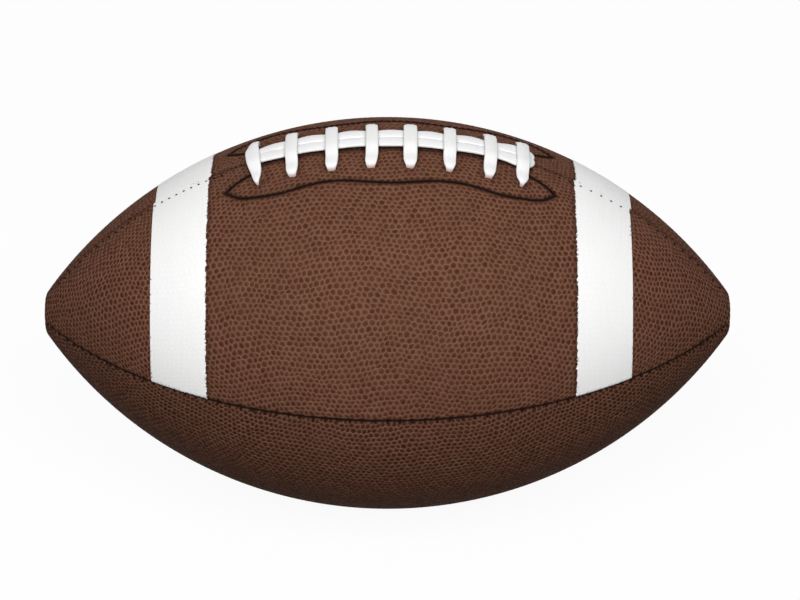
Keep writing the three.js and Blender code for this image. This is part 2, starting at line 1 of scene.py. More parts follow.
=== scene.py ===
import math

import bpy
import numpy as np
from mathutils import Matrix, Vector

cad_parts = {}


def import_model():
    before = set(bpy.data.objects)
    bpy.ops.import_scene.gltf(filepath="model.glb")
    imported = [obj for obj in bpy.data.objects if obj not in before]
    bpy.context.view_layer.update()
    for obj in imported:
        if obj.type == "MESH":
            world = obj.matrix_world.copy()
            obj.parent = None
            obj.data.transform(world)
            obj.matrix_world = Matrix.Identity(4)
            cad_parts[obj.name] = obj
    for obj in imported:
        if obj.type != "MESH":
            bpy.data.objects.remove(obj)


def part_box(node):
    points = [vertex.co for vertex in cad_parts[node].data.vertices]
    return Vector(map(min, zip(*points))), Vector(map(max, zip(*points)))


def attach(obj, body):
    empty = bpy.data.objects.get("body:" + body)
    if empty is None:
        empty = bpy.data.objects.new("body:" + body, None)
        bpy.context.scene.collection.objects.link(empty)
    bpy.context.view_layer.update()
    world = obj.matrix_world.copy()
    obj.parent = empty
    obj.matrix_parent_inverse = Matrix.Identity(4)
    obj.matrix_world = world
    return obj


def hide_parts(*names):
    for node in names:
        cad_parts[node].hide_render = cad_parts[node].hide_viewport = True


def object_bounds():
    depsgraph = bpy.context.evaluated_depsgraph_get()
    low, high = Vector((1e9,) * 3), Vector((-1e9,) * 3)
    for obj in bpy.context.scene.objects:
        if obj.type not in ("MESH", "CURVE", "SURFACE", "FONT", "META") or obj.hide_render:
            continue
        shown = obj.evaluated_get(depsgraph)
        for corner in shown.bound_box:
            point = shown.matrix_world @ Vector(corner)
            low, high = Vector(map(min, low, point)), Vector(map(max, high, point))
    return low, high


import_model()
cad_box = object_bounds()

# An american football of the smallest youth size: four pebbled cover panels with their linings, white
# stripe films, the lace over its facings and guard flap, the bladder with its valve, and the threads.
#
# Lengths are millimetres until make_piece turns them into metres. A place on the ball is an arc length
# from the ball's middle along its profile, an angle round it from the lace seam towards the front (-Y),
# and a height out of the cover's surface. Near the lace it is x along the ball, s round it, and a height.

MM = 0.001
QUARTER = math.pi / 2

# The ball, as the solids have it
LENGTH = (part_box("panel_front_upper")[1][0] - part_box("panel_front_upper")[0][0]) / MM
DIAMETER = 146.1
NOSE_FLAT = 5.0
NOSE_ROUND = 6.0
NOSE_HOLE = 0.8
COVER = 2.0
SEAM_GAP = 0.3

# Profile: a long arc, a rounding and a flat at each nose
NOSE_CENTRE = LENGTH / 2 - NOSE_ROUND
RISE = DIAMETER / 2 - NOSE_FLAT
PROFILE_RADIUS = (NOSE_CENTRE**2 + RISE**2 - NOSE_ROUND**2) / (2 * (RISE - NOSE_ROUND))
ARC_SINK = PROFILE_RADIUS - DIAMETER / 2
ARC_LEAN = math.asin(NOSE_CENTRE / (PROFILE_RADIUS - NOSE_ROUND))
LONG_ARC = PROFILE_RADIUS * ARC_LEAN
ROUND_ARC = NOSE_ROUND * (QUARTER - ARC_LEAN)
HALF_ARC = LONG_ARC + ROUND_ARC + NOSE_FLAT - NOSE_HOLE

# Pebbles of the cover
PEBBLE_PITCH = 2.26
PEBBLE_STRAY = 0.36  # share of the pitch that a pebble's middle may be off its row
PEBBLE_SWAY = 1.0  # how far the rows swing
PEBBLE_SQUEEZE = 0.065  # at a nose, the share of the way from the middle by which pebbles are drawn in
CORNER_STRAY = 0.05  # share of the pitch that a corner of the web strays
RING_SHARES = (0.84, 0.45)  # shares of the way to its corners at which a pebble's two rings lie
RING_FILL = (0.06, 0.17)  # what these shares gain where pebbles fill their cells
SWELL = (0.7, 1.25)  # range of a pebble's own share of the relief
WEB_DEPTH = 0.27  # of the web between pebbles
PEBBLE_CROWN = 0.03
RELIEF_EDGE = 1.5  # the relief fades over this distance from a seam

# Seams
SEAM_LIP = 1.0  # radius of the turned edge at a sewn seam
LACE_LIP = 0.45  # the same at the lace seam, which is drawn tight
FULL_LIP_RADIUS = 12.0
SEAM_STITCH_PITCH = 4.5
SEAM_STITCH_DENT = 0.3
THREAD = 0.55
THREAD_DEPTH = (0.75, 1.1)  # of the thread in a seam's groove, and in the tight lace seam
THREAD_SET_BACK = 5.5  # from a nose to the thread's end
BAR_REACH = 0.85  # half length of a stitch over the groove
DOT_OFF, DOT_RADIUS = 2.6, 0.36  # of the stitches beside the lace seam
LACE_SEAM_FREE = 12.6  # past the end crossings, where the lace seam's stitches start
LACE_SEAM_PITCHES = (3.1, 4.3)  # of these stitches, left and right

BAKE_SIDE = 330  # side of the square that a panel's UV map stands for
FLESH_ROWS, FLESH_COLUMNS = 121, 25  # grid of the cover's smooth inner side

# Stripes: x of each inner edge, and the width
STRIPE_INNER = (-65.2, 68.2)
STRIPE_WIDTH = 20.5
STRIPE_LIFT = 0.13
FILM_THICKNESS = 0.28
STRIPE_RELIEF = 0.08  # share of the pebbles' relief that shows through the film
STRIPE_RAGGED = 0.34  # how far the inner edge strays
FILM_GAP = 0.02  # between the front and the rear film at the lace seam
FILM_LIP = 0.05
STRIPE_STEP = 0.7  # the rear panel's stripes sit this far off the front's
ON_SEAM = 0.01  # a place this near to a seam lies on it

# Lace
LACE_WIDTH = 4.8
LACE_THICKNESS = 1.6
LACE_BEND = 1.2
LACE_FLAT_TURN = 3.0
CROSSINGS = 8
CROSSING_PITCH = 14.2
END_PITCH = 12.0
LACE_MIDDLE = 1.1
HOLE_REACH = 14.0
STRAND_MIDDLE = -1.5
STRAND_PITCH = 5.6
STRAND_HOLE_STEP = 3.6
STRAND_PINCH = 1.7  # the rear strand comes this much nearer to the front one where they dive
LOOP_STEP = -0.4
LOOP_FLARE = (0.3, 1.1)  # how far the rear and the front strand spread at the loop
LOOP_WIDER = 2.0
STRAND_PUFF = (0.75, 0.3, 0.25)  # how much wider, higher and thicker a strand is between crossings
STRAND_SWAY = 0.16
TAIL = 9.5
SHELF_OVERHANG = 1.2
RAMP = 3.8
LAYER_GAP = 0.3
LACE_INSIDE = 4.8
STRAND_HEIGHT = LAYER_GAP + LACE_THICKNESS / 2
SHELF_HEIGHT = STRAND_HEIGHT + LACE_THICKNESS + LAYER_GAP
STRANDS = (STRAND_MIDDLE - STRAND_PITCH / 2, STRAND_MIDDLE + STRAND_PITCH / 2)
STRAND_HALF = (STRAND_PITCH + LACE_WIDTH) / 2
SECTION_POWERS = (0.62, 0.85)  # of the section's width and thickness: 1 is an ellipse, 0 a rectangle
GROOVE_DEPTH = 0.17  # share of the thickness
GROOVES = 1.6  # waves of grooves over half the width

# Wavy stitch that holds each facing
WAVE_MIDDLE = 21.3
WAVE_HEIGHT = 1.2
WAVE_LENGTH = 46.0
WAVE_SINK = 1.5
LEAF_PAST = (6.9, 12.4, 9.5, 6.2, 2.9)
LEAF_SHARE = (0.885, 0.65, 0.53, 0.435, 0.375)
FACING_STITCH = 0.8
FACING_STITCH_PITCH = 2.55
LACE_REGION = (70, 30)  # half length and half width of the region that the lace and the stitch shape
CREASE_DEPTH, CREASE_WIDTH = 0.5, 0.8  # of the crease along the stitch
# DARK_WIDTH is the width of the painted shade in the stitch's crease
DARK_WIDTH = 1.15  # of the darkening along the stitch
BANK_HEIGHT, BANK_OFF, BANK_WIDTH = 0.16, 2.4, 1.1  # of the low swell on each side of the crease
HOLLOW_DEPTH, HOLLOW_LENGTH, HOLLOW_WIDTH = 0.7, 2.6, 1.1  # of the hollow at each lace hole

# Sheets inside, as depths of their tops and floors
LINING = (2.3, 3.5)
LINING_SET_IN = 2.05
FACING = (2.5, 3.7)
FLAP = (5.9, 7.1)
BLADDER = (4.1, 5.0)
FLAP_MARGIN = 7.0
FLAP_SIDE = HOLE_REACH + 4.0
FACING_MARGIN = 2.6
FACING_NARROWING = 12.0  # length over which a facing narrows to its end

# Where the bladder is pressed in under the guard flap: how deep, and the half length and half angle of the
# hollow with the way that its edge takes to rise
PRESS_DEPTH = 3.4
PRESS_MIDDLE = -1
PRESS_LENGTH = (66, 16)
PRESS_ANGLE = (0.3, 0.3)

# Valve in the middle of the rear upper panel
VALVE_ANGLE = -QUARTER / 2
VALVE_AXIS = np.array([0, -math.sin(VALVE_ANGLE), math.cos(VALVE_ANGLE)])
VALVE_HOLE = 3.6
FLESH_HOLE = VALVE_HOLE + 0.7  # where the cover's hole meets its inner side
VALVE_FLANGE_HOLE = 8.7  # hole of the lining and the bladder
VALVE_SUNK = 0.2
HOLE_BORDER = 12  # a border edge this near to a hole round the valve belongs to the hole

# Closed outlines round the valve's axis, as radii and heights over the cover
VALVE_RIM = (
    (VALVE_HOLE, -1.1), (VALVE_HOLE, -0.35), (3.75, -0.1), (4.1, 0.04), (4.6, 0.0), (5.0, -0.3), (5.0, -1.1),
)
VALVE_HOUSING = (
    (1.1, -VALVE_SUNK - 0.5), (1.35, -VALVE_SUNK - 0.08), (1.7, -VALVE_SUNK), (2.2, -VALVE_SUNK),
    (2.3, -VALVE_SUNK - 0.12), (2.5, -VALVE_SUNK - 0.12), (2.6, -VALVE_SUNK), (2.95, -VALVE_SUNK - 0.02),
    (3.15, -VALVE_SUNK - 0.15), (3.2, -VALVE_SUNK - 0.4), (3.2, -2.9), (8.0, -2.9), (8.25, -3.1), (8.3, -3.5),
    (8.2, -4.0), (5.0, -4.15), (4.5, -4.5), (4.4, -5.0), (4.4, -12.6), (4.2, -13), (2.4, -13), (2.3, -12.8),
    (2.3, -3.5), (2.1, -3.4), (1.1, -3.4),
)
VALVE_PLUG = ((0.45, -3.75), (1.8, -3.75), (2.0, -3.9), (2.0, -12.5), (1.8, -12.7), (0.45, -12.7))

# x of each crossing: evenly spaced, with the two end ones drawn in
CROSSING_X = LACE_MIDDLE + CROSSING_PITCH * (np.arange(CROSSINGS - 2) - (CROSSINGS - 3) / 2)
CROSSING_X = np.concatenate([[CROSSING_X[0] - END_PITCH], CROSSING_X, [CROSSING_X[-1] + END_PITCH]])
STRAND_DIVE_X = CROSSING_X[0] - STRAND_HOLE_STEP
LOOP_X = CROSSING_X[-1] + LOOP_STEP


# Places on the ball

def profile(arc, height=0.0):
    """x and radius at an arc length from the middle: along a circle of PROFILE_RADIUS to its last normal,
    round a circle of NOSE_ROUND to the nose's flat, then straight towards the axis."""
    size = np.abs(arc)
    lean = np.minimum(size / PROFILE_RADIUS, ARC_LEAN)
    lean = lean + np.clip((size - LONG_ARC) / NOSE_ROUND, 0, QUARTER - ARC_LEAN)
    on_arc = size <= LONG_ARC
    reach = np.where(on_arc, PROFILE_RADIUS, NOSE_ROUND) + height
    x = np.where(on_arc, 0, NOSE_CENTRE) + reach * np.sin(lean)
    radius = np.where(on_arc, -ARC_SINK, NOSE_FLAT) + reach * np.cos(lean)
    return np.sign(arc) * x, radius - np.maximum(size - LONG_ARC - ROUND_ARC, 0)


def on_ball(arc, angle, height):
    x, radius = profile(arc, height)
    x, radius, angle = np.broadcast_arrays(x, radius, angle)
    return np.stack([x, -radius * np.sin(angle), radius * np.cos(angle)], -1)


def edge_angle(radius, off):
    """The angle from a panel's middle line to its edge, which lies a distance off the seam."""
    return QUARTER / 2 - np.arcsin(off / radius)


def arc_at(x):
    return PROFILE_RADIUS * np.arcsin(x / PROFILE_RADIUS)


def near_lace(x, s, height):
    arc = arc_at(x)
    return on_ball(arc, s / profile(arc)[1], height)


def at_valve(along, around, height):
    """Places by the valve's axis: along the ball, around it, and a height over the cover."""
    x_axis = np.array([1.0, 0, 0])
    tangent = np.array([0, -math.cos(VALVE_ANGLE), -math.sin(VALVE_ANGLE)])
    out = (height[..., None] + DIAMETER / 2) * VALVE_AXIS
    return along[..., None] * x_axis + around[..., None] * tangent + out


def unit(vectors):
    return vectors / np.maximum(np.linalg.norm(vectors, axis=-1, keepdims=True), 1e-9)


def bell(distance, width):
    return np.exp(-((distance / width) ** 2))


def fall(distance, start, way):
    """1 up to a start, 0 past a way beyond it, and half a cosine wave between."""
    return 0.5 + 0.5 * np.cos(math.pi * np.clip((distance - start) / way, 0, 1))


def running_length(route):
    return np.append(0, np.cumsum(np.linalg.norm(np.diff(route, axis=0), axis=1)))


# Meshes

def grid_faces(rows, columns):
    corner = np.arange(rows - 1)[:, None] * columns + np.arange(columns - 1)
    faces = np.stack([corner, corner + columns, corner + columns + 1, corner + 1], -1)
    return faces.reshape(-1, 4)


def volume(points, faces):
    """Signed volume of a closed form: the sum of the tetrahedra from the origin to each fan triangle."""
    total = 0.0
    for corner in range(1, faces.shape[1] - 1):
        a, b, c = points[faces[:, 0]], points[faces[:, corner]], points[faces[:, corner + 1]]
        total += np.einsum("ij,ij->i", a, np.cross(b, c)).sum()
    return total


def placed(name, data):
    """A new object of the scene that shows a mesh, a light or a camera."""
    thing = bpy.data.objects.new(name, data)
    bpy.context.scene.collection.objects.link(thing)
    return thing


def make_piece(name, node, slot, *forms):
    """Closed forms in one mesh that rides on the ball and stands for a node, with its slot's finish. A form
    is its points, its faces by their numbers of corners, and a table of values at its points. Faces are
    turned outwards, and points that no face uses are left out. bake_u and bake_v become a UV map, other
    values attributes."""
    points, faces, values, count = [], [], {}, 0
    for places, sheets, *table in forms:
        places = places.reshape(-1, 3)
        inside_out = sum(volume(places, sheet) for sheet in sheets) < 0
        faces += [(sheet[:, ::-1] if inside_out else sheet) + count for sheet in sheets]
        for key, value in (table[0] if table else {}).items():
            values.setdefault(key, []).append(np.ravel(value))
        points.append(places)
        count += len(places)
    used, corners = np.unique(np.concatenate([sheet.ravel() for sheet in faces]), return_inverse=True)
    sizes = np.concatenate([np.full(len(sheet), sheet.shape[1]) for sheet in faces])
    values = {key: np.concatenate(parts)[used] for key, parts in values.items()}
    mesh = bpy.data.meshes.new(name)
    mesh.vertices.add(len(used))
    mesh.vertices.foreach_set("co", (np.concatenate(points)[used] * MM).ravel())
    mesh.loops.add(len(corners))
    mesh.loops.foreach_set("vertex_index", corners)
    mesh.polygons.add(len(sizes))
    mesh.polygons.foreach_set("loop_start", np.cumsum(sizes) - sizes)
    mesh.update(calc_edges=True)
    mesh.validate()
    mesh.shade_smooth()
    if "bake_u" in values:
        flat = np.stack([values.pop("bake_u"), values.pop("bake_v")], -1)
        ends = np.empty(len(mesh.loops), dtype=np.int32)
        mesh.loops.foreach_get("vertex_index", ends)
        mesh.uv_layers.new(name="OFBake").uv.foreach_set("vector", flat[ends].ravel())
    for key, value in values.items():
        mesh.attributes.new(key, "FLOAT", "POINT").data.foreach_set("value", value)
    mesh.materials.append(FINISHES[slot])
    piece = placed(name, mesh)
    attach(piece, "root")
    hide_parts(node)


def flat_sheet(place, first, second, depths):
    """A closed sheet over a grid of places: the grid at both depths, and a wall round the border."""
    top, floor = (place(first, second, -depth) for depth in depths)
    rows, columns = top.shape[:2]
    ids = np.arange(rows * columns).reshape(rows, columns)
    border = np.concatenate([ids[0, :-1], ids[:-1, -1], ids[-1, :0:-1], ids[:0:-1, 0]])
    after = np.roll(border, -1)
    wall = np.stack([border, after, after + ids.size, border + ids.size], -1)
    faces = grid_faces(rows, columns)
    return np.stack([top, floor]), [faces, faces[:, ::-1] + ids.size, wall]


def closed_tubes(rings):
    """Walls between the rings of each tube, and a fan from the middle of each end ring.
    rings holds tubes, stations, sides and coordinates."""
    tubes, stations, sides = rings.shape[:3]
    each = stations * sides + 2
    middles = rings[:, [0, -1]].mean(axis=2)
    points = np.concatenate([rings.reshape(tubes, -1, 3), middles], axis=1)
    side = np.arange(sides)
    after = (side + 1) % sides
    row = np.arange(stations - 1)[:, None] * sides
    wall = np.stack([row + side, row + after, row + sides + after, row + sides + side], -1).reshape(-1, 4)
    last = (stations - 1) * sides
    start = np.stack([after, side, np.full(sides, each - 2)], -1)
    end = np.stack([last + side, last + after, np.full(sides, each - 1)], -1)
    offsets = np.arange(tubes)[:, None, None] * each
    faces = [(part + offsets).reshape(-1, part.shape[1]) for part in (wall, np.concatenate([start, end]))]
    return points, faces


def cords(place, first, second, height, radius, sides):
    """Round tubes along paths that a place function gives, with circles of the radius square to the path."""
    paths = place(first, second, height)
    along = unit(np.gradient(paths, axis=1))
    across = unit(np.cross(along, unit(place(first, second, height + 1) - paths)))
    outs = np.cross(across, along)
    turn = np.linspace(0, 2 * math.pi, sides, endpoint=False)[:, None]
    radius = np.broadcast_to(radius, paths.shape[:2])[..., None, None]
    rings = np.cos(turn) * outs[:, :, None] + np.sin(turn) * across[:, :, None]
    return closed_tubes(paths[:, :, None] + radius * rings)


def lathe(outline, sides):
    """A closed ring: an outline of radii and heights turned round the valve's axis."""
    radii, heights = np.array(outline).T
    turn = np.linspace(0, 2 * math.pi, sides, endpoint=False)[:, None]
    points = at_valve(radii * np.cos(turn), radii * np.sin(turn), heights + 0 * turn)
    ids = np.arange(sides * len(radii)).reshape(sides, -1)
    after = np.roll(ids, -1, axis=0)
    corners = [ids, after, np.roll(after, -1, axis=1), np.roll(ids, -1, axis=1)]
    return points, [np.stack(corners, -1).reshape(-1, 4)]


def kept_faces(faces, side):
    """The faces that stay when places are drawn to edges: those whose corners weren't all drawn to the same
    one. side holds a code for the edge that a place was drawn to, and 0 for a place that stayed."""
    codes = side[faces]
    return faces[(codes == 0).any(axis=1) | (codes != codes[:, :1]).any(axis=1)]


def skirt(faces):
    """Directed border edges of a sheet: those that only one face has."""
    edges = np.stack([faces, np.roll(faces, -1, axis=1)], -1).reshape(-1, 2)
    _, first, counts = np.unique(np.sort(edges, axis=1), axis=0, return_index=True, return_counts=True)
    return edges[first[counts == 1]]


def open_at_valve(points, faces, under, reach):
    """Takes the faces within reach of the valve's axis out of a sheet's top and floor, the first two of its
    faces, and adds a wall round the hole. under is the count from a point of the top to the one below it."""
    places = points.reshape(-1, 3)
    level = places @ VALVE_AXIS
    off = np.where(level > 0, np.linalg.norm(places - level[:, None] * VALVE_AXIS, axis=1), DIAMETER)
    top, floor, *rest = faces
    keep = (off[top] > reach).all(axis=1)
    edges = skirt(top[keep])
    first, second = edges[(off[edges] < reach + HOLE_BORDER).all(axis=1)].T
    wall = np.stack([second, first, first + under, second + under], -1)
    return points, [top[keep], floor[keep], wall, *rest]


# The pebbled leather

def pebble_lattice(seed, full):
    """A flat field of pebbles. Their middles stray from the places of a hexagonal net, each corner of the
    web is the mean of the three middles round it, and each pebble has two rings and a middle inside its
    corners. full, and the square of the way to a nose, say how far pebbles fill their cells and how much
    they darken: painted shade towards the noses and on the lower panels.
    Returns the places, for each its height, grain (0 on the web, 1 on a pebble) and tone, and triangles."""
    rng = np.random.default_rng(seed)
    row_step = PEBBLE_PITCH * math.sqrt(3) / 2
    rows = 2 * math.ceil(DIAMETER * QUARTER / 4 / row_step) + 5
    columns = 2 * math.ceil(1.09 * HALF_ARC / PEBBLE_PITCH) + 5
    row, column = np.meshgrid(np.arange(rows), np.arange(columns), indexing="ij")
    odd = row % 2
    along = (column - columns / 2 + odd / 2) * PEBBLE_PITCH
    across = (row - rows / 2) * row_step
    middles = np.stack([along, across], -1)
    middles += PEBBLE_PITCH * PEBBLE_STRAY * rng.uniform(-1, 1, middles.shape)
    middles[..., 0] *= 1 - PEBBLE_SQUEEZE * (middles[..., 0] / HALF_ARC) ** 2
    sway = np.stack([np.sin(0.16 * across + 0.05 * along + seed), np.sin(0.13 * along - 0.06 * across)], -1)
    middles += PEBBLE_SWAY * sway

    def beside(rise, step):
        return np.clip(row + rise, 0, rows - 1), np.clip(column + step + odd, 0, columns - 1)

    upper, lower = ([beside(rise, -1), beside(rise, 0)] for rise in (1, -1))
    corners = [(middles + middles[left] + middles[right]) / 3 for left, right in (upper, lower)]
    corners = np.stack(corners).reshape(-1, 2)
    corners += CORNER_STRAY * PEBBLE_PITCH * rng.uniform(-1, 1, corners.shape)

    count = rows * columns
    top_id = np.arange(count).reshape(rows, columns)
    bottom_id = top_id + count
    corner_id = [
        bottom_id[upper[1]], top_id, bottom_id[upper[0]],
        top_id[lower[0]], bottom_id, top_id[lower[1]],
    ]
    corner_id = np.stack(corner_id, -1)[1:-1, 1:-1].reshape(-1, 6)
    pebbles = len(corner_id)
    centre = corners[corner_id].mean(axis=1, keepdims=True)
    offset = corners[corner_id] - centre
    mean_reach = np.linalg.norm(offset, axis=-1).mean(axis=1)[:, None, None]
    fill = np.clip(full + (centre[..., :1] / HALF_ARC) ** 2, 0, 1)
    outer_share, inner_share = (share + gain * fill for share, gain in zip(RING_SHARES, RING_FILL))
    outer_ring = centre + outer_share * offset
    inner_ring = centre + inner_share * (0.5 * offset + 0.5 * unit(offset) * mean_reach)
    places = np.concatenate([corners, outer_ring.reshape(-1, 2), inner_ring.reshape(-1, 2), centre[:, 0]])

    outer_id = 2 * count + np.arange(6 * pebbles).reshape(-1, 6)
    inner_id = outer_id + 6 * pebbles
    centre_id = np.repeat((2 * count + 12 * pebbles + np.arange(pebbles))[:, None], 6, axis=1)
    triangles = []
    for ring, inside in ((corner_id, outer_id), (outer_id, inner_id)):
        after, after_inside = np.roll(ring, -1, axis=1), np.roll(inside, -1, axis=1)
        triangles += [(ring, after_inside, after), (ring, inside, after_inside)]
    triangles.append((inner_id, centre_id, after_inside))
    faces = np.concatenate([np.stack(part, -1).reshape(-1, 3) for part in triangles])

    swell = rng.uniform(*SWELL, pebbles)
    fill = fill[:, 0, 0]
    # a random tone for each pebble, lowered where pebbles are full: painted shade towards the noses and on
    # the lower panels
    tone = 0.45 * (1 - fill) + 0.55 * rng.uniform(0, 1, pebbles) * (1 - 0.65 * fill)
    web = np.ones(2 * count)
    swell_6, tone_6, fill_6 = (np.repeat(values, 6) for values in (swell, tone, fill))
    height = np.concatenate([
        -WEB_DEPTH * web, -0.6 * WEB_DEPTH * swell_6, 0.3 * PEBBLE_CROWN * swell_6, PEBBLE_CROWN * swell,
    ])
    outer_grain = (0.4 + 0.14 * (1 - fill_6)) * swell_6
    grain = np.concatenate([0 * web, outer_grain, 0.86 * swell_6**0.3, np.ones(pebbles)])
    tone = np.concatenate([0.5 * web, tone_6, tone_6, tone])
    return places, height, np.minimum(grain, 1), tone, faces


class Panel:
    """The pebble lattice laid on one quarter of the ball.

    A flat place is moved along the ball by its square distance from the panel's middle line, times the
    slope of the profile over twice the radius, so that the net stays nearly square on the curved quarter.
    Places past a seam or a nose are drawn back to it, and triangles that lie wholly past it are dropped."""

    def __init__(self, place, middle, lips, full, seed):
        self.place, self.middle, self.lips = place, middle, lips
        self.half, level = place.split("_")
        self.upper = level == "upper"
        self.side = 1 if self.half == "front" else -1
        self.with_valve = place == "rear_upper"
        self.flat, self.relief, self.grain, self.tone, faces = pebble_lattice(seed, full)
        p, q = self.flat.T
        base = np.clip(p, -HALF_ARC, HALF_ARC)
        radius = np.maximum(profile(base)[1], 1)
        slope = np.tan(np.clip(base / PROFILE_RADIUS, -ARC_LEAN, ARC_LEAN))
        fade = 1 - np.abs(base / HALF_ARC) ** 6
        reach = np.clip(q, -radius, radius)
        free_arc = p - fade * slope * reach**2 / (2 * radius)
        self.arc = np.clip(free_arc, -HALF_ARC, HALF_ARC)
        self.x, self.radius = profile(self.arc)
        angle = q / self.radius
        self.edge = edge_angle(self.radius, SEAM_GAP / 2)
        self.angle = np.clip(angle, -self.edge, self.edge)
        side = np.sign(angle) * (np.abs(angle) >= self.edge)
        side = np.where((side == 0) & (np.abs(free_arc) >= HALF_ARC), 2, side)
        self.faces = kept_faces(faces, side)
        self.to_seam = (self.edge - np.abs(self.angle)) * self.radius
        self.s = (self.middle + self.angle) * self.radius

    def by_lace(self):
        """Which places lie in the half of the panel beside the lace seam."""
        return np.where(self.angle > 0, self.lips[1], self.lips[0]) == LACE_LIP

    def lip(self, lace_lip=LACE_LIP):
        """How far the cover turns down near a seam: a quarter circle of the lip's radius."""
        wanted = np.where(self.by_lace(), lace_lip, SEAM_LIP)
        lip = wanted * np.minimum(1, self.radius / FULL_LIP_RADIUS)
        share = np.clip(1 - self.to_seam / lip, 0, 1)
        return lip * (1 - np.sqrt(1 - share**2))

    def seam_stitches(self):
        """Where the seam's stitches pull on its lips: bells along the seam, one at each stitch."""
        sewn = ~self.by_lace()
        phase = self.arc / SEAM_STITCH_PITCH
        along = bell((phase - np.round(phase)) * SEAM_STITCH_PITCH, 0.8)
        return sewn * along * bell(self.to_seam, 1.5) * (np.abs(self.arc) < LONG_ARC)


def smooth_line(points, steps):
    """A Catmull-Rom curve through points, with a number of steps between neighbours."""
    points = np.array(points, dtype=float)
    padded = np.concatenate([[2 * points[0] - points[1]], points, [2 * points[-1] - points[-2]]])
    a, b, c, d = (padded[k:len(padded) - 3 + k, None] for k in range(4))
    t = (np.arange(steps) / steps)[None, :, None]
    curve = 2 * b + (c - a) * t + (2 * a - 5 * b + 4 * c - d) * t**2 + (3 * b - a - 3 * c + d) * t**3
    return np.concatenate([curve.reshape(-1, points.shape[1]) / 2, points[-1:]])


def wave(x):
    """A cosine wave that sinks a little by the end crossings."""
    sink = WAVE_SINK * bell(np.abs(x - LACE_MIDDLE) - (CROSSING_X[-1] - LACE_MIDDLE), 5.0)
    return WAVE_MIDDLE + WAVE_HEIGHT * np.cos(2 * math.pi * (x - LACE_MIDDLE) / WAVE_LENGTH) - sink


def facing_route():
    """x and s of the stitch round a facing: a cosine wave, with a leaf's sharp tip at each end."""
    middle = [(x, wave(x)) for x in np.linspace(CROSSING_X[0], CROSSING_X[-1], 13)]
    left, right = (
        [(end + way * past, share * WAVE_MIDDLE) for past, share in zip(LEAF_PAST, LEAF_SHARE)]
        for end, way in ((CROSSING_X[0], -1), (CROSSING_X[-1], 1))
    )
    legs = (left[:0:-1], [left[1], left[0], *middle, right[0], right[1]], right[1:])
    return np.concatenate([smooth_line(leg, 12) for leg in legs])


FACING_ROUTE = facing_route()


def distance_to_route(x, s, route):
    """Least distance of each place to the points of a route."""
    best = np.full(x.shape, 99.0)
    for route_x, route_s in route:
        np.minimum(best, np.hypot(x - route_x, s - route_s), out=best)
    return best


def lace_dents(panel):
    """Height and painted shade that the lace and the facing's stitch bring to an upper panel: a crease along
    the stitch between two low swells, and a hollow at each lace hole. The painted shade darkens the crease,
    each hollow, a band beside the strands where they would cast their shadow, and both sides of each
    crossing."""
    near = (np.abs(panel.x) < LACE_REGION[0]) & (np.abs(panel.s) < LACE_REGION[1])
    x, s = panel.x[near], np.abs(panel.s[near])
    off = distance_to_route(x, s, FACING_ROUTE)
    dent = BANK_HEIGHT * bell(off - BANK_OFF, BANK_WIDTH) - CREASE_DEPTH * bell(off, CREASE_WIDTH)
    # painted shade in the crease along the facing's stitch
    dark = bell(off, DARK_WIDTH)
    beside_strands = STRAND_HALF + STRAND_MIDDLE * np.sign(panel.s[near])
    under_lace = (x > CROSSING_X[0] - 2) & (x < CROSSING_X[-1] + 4)
    # painted shadow of the strands on the leather beside them
    dark += 0.85 * under_lace * bell(np.maximum(s - beside_strands - 0.3, 0), 1.3)
    for hole_x in CROSSING_X:
        hollow = bell(x - hole_x, HOLLOW_LENGTH) * bell(s - HOLE_REACH, HOLLOW_WIDTH)
        dent -= HOLLOW_DEPTH * hollow
        # painted shade in each hole's hollow, and painted shadow along both sides of each crossing
        dark += 0.6 * hollow + 0.3 * bell(np.abs(x - hole_x) - 2.7, 0.7) * (s < HOLE_REACH)
    height, soil = np.zeros(len(panel.x)), np.zeros(len(panel.x))
    height[near], soil[near] = dent, dark
    return height, soil


def stripe_edges(half):
    """The inner and outer x of both stripes on the front or the rear panel."""
    step = STRIPE_STEP if half == "rear" else 0.0
    left, right = STRIPE_INNER
    return (left + step, left - STRIPE_WIDTH + step), (right + step, right + STRIPE_WIDTH + step)


def flesh_side(with_valve):
    """The smooth inner side of a cover: an even grid of arc lengths and angles, closed by one place at each
    nose. For the valve's hole, the grid's places two steps from its middle move to a circle. Returns
    arc lengths, angles from the panel's middle, faces, and which places lie on the border."""
    arcs = np.linspace(-HALF_ARC, HALF_ARC, FLESH_ROWS)[1:-1, None]
    angles = edge_angle(profile(arcs)[1], SEAM_GAP / 2) * np.linspace(-1, 1, FLESH_COLUMNS)
    arcs = arcs + 0 * angles
    rows, columns = arcs.shape
    ids = np.arange(rows * columns).reshape(rows, columns)
    poles = np.array([0, 1]) + rows * columns
    sheet = grid_faces(rows, columns)
    fans = np.concatenate([
        np.stack([poles[0] + 0 * ids[0, 1:], ids[0, :-1], ids[0, 1:]], -1),
        np.stack([poles[1] + 0 * ids[0, 1:], ids[-1, 1:], ids[-1, :-1]], -1),
    ])
    border = [ids[:, 0], ids[:, -1], poles]
    arcs = np.append(arcs, [-HALF_ARC, HALF_ARC])
    angles = np.append(angles, [0, 0])
    if with_valve:
        row, column = np.divmod(ids.ravel(), columns)
        steps = np.maximum(np.abs(row - rows // 2), np.abs(column - columns // 2))
        ring = np.flatnonzero(steps == 2)
        border.append(ring)
        turn = np.arctan2(angles[ring] * DIAMETER / 2, arcs[ring])
        turn = (1 + turn.argsort().argsort()) * 2 * math.pi / len(ring) - math.pi
        arcs[ring] = FLESH_HOLE * np.cos(turn)
        angles[ring] = FLESH_HOLE * np.sin(turn) / (DIAMETER / 2)
        sheet = sheet[(steps[sheet] >= 2).all(axis=1)]
    return arcs, angles, [sheet, fans], np.concatenate(border)


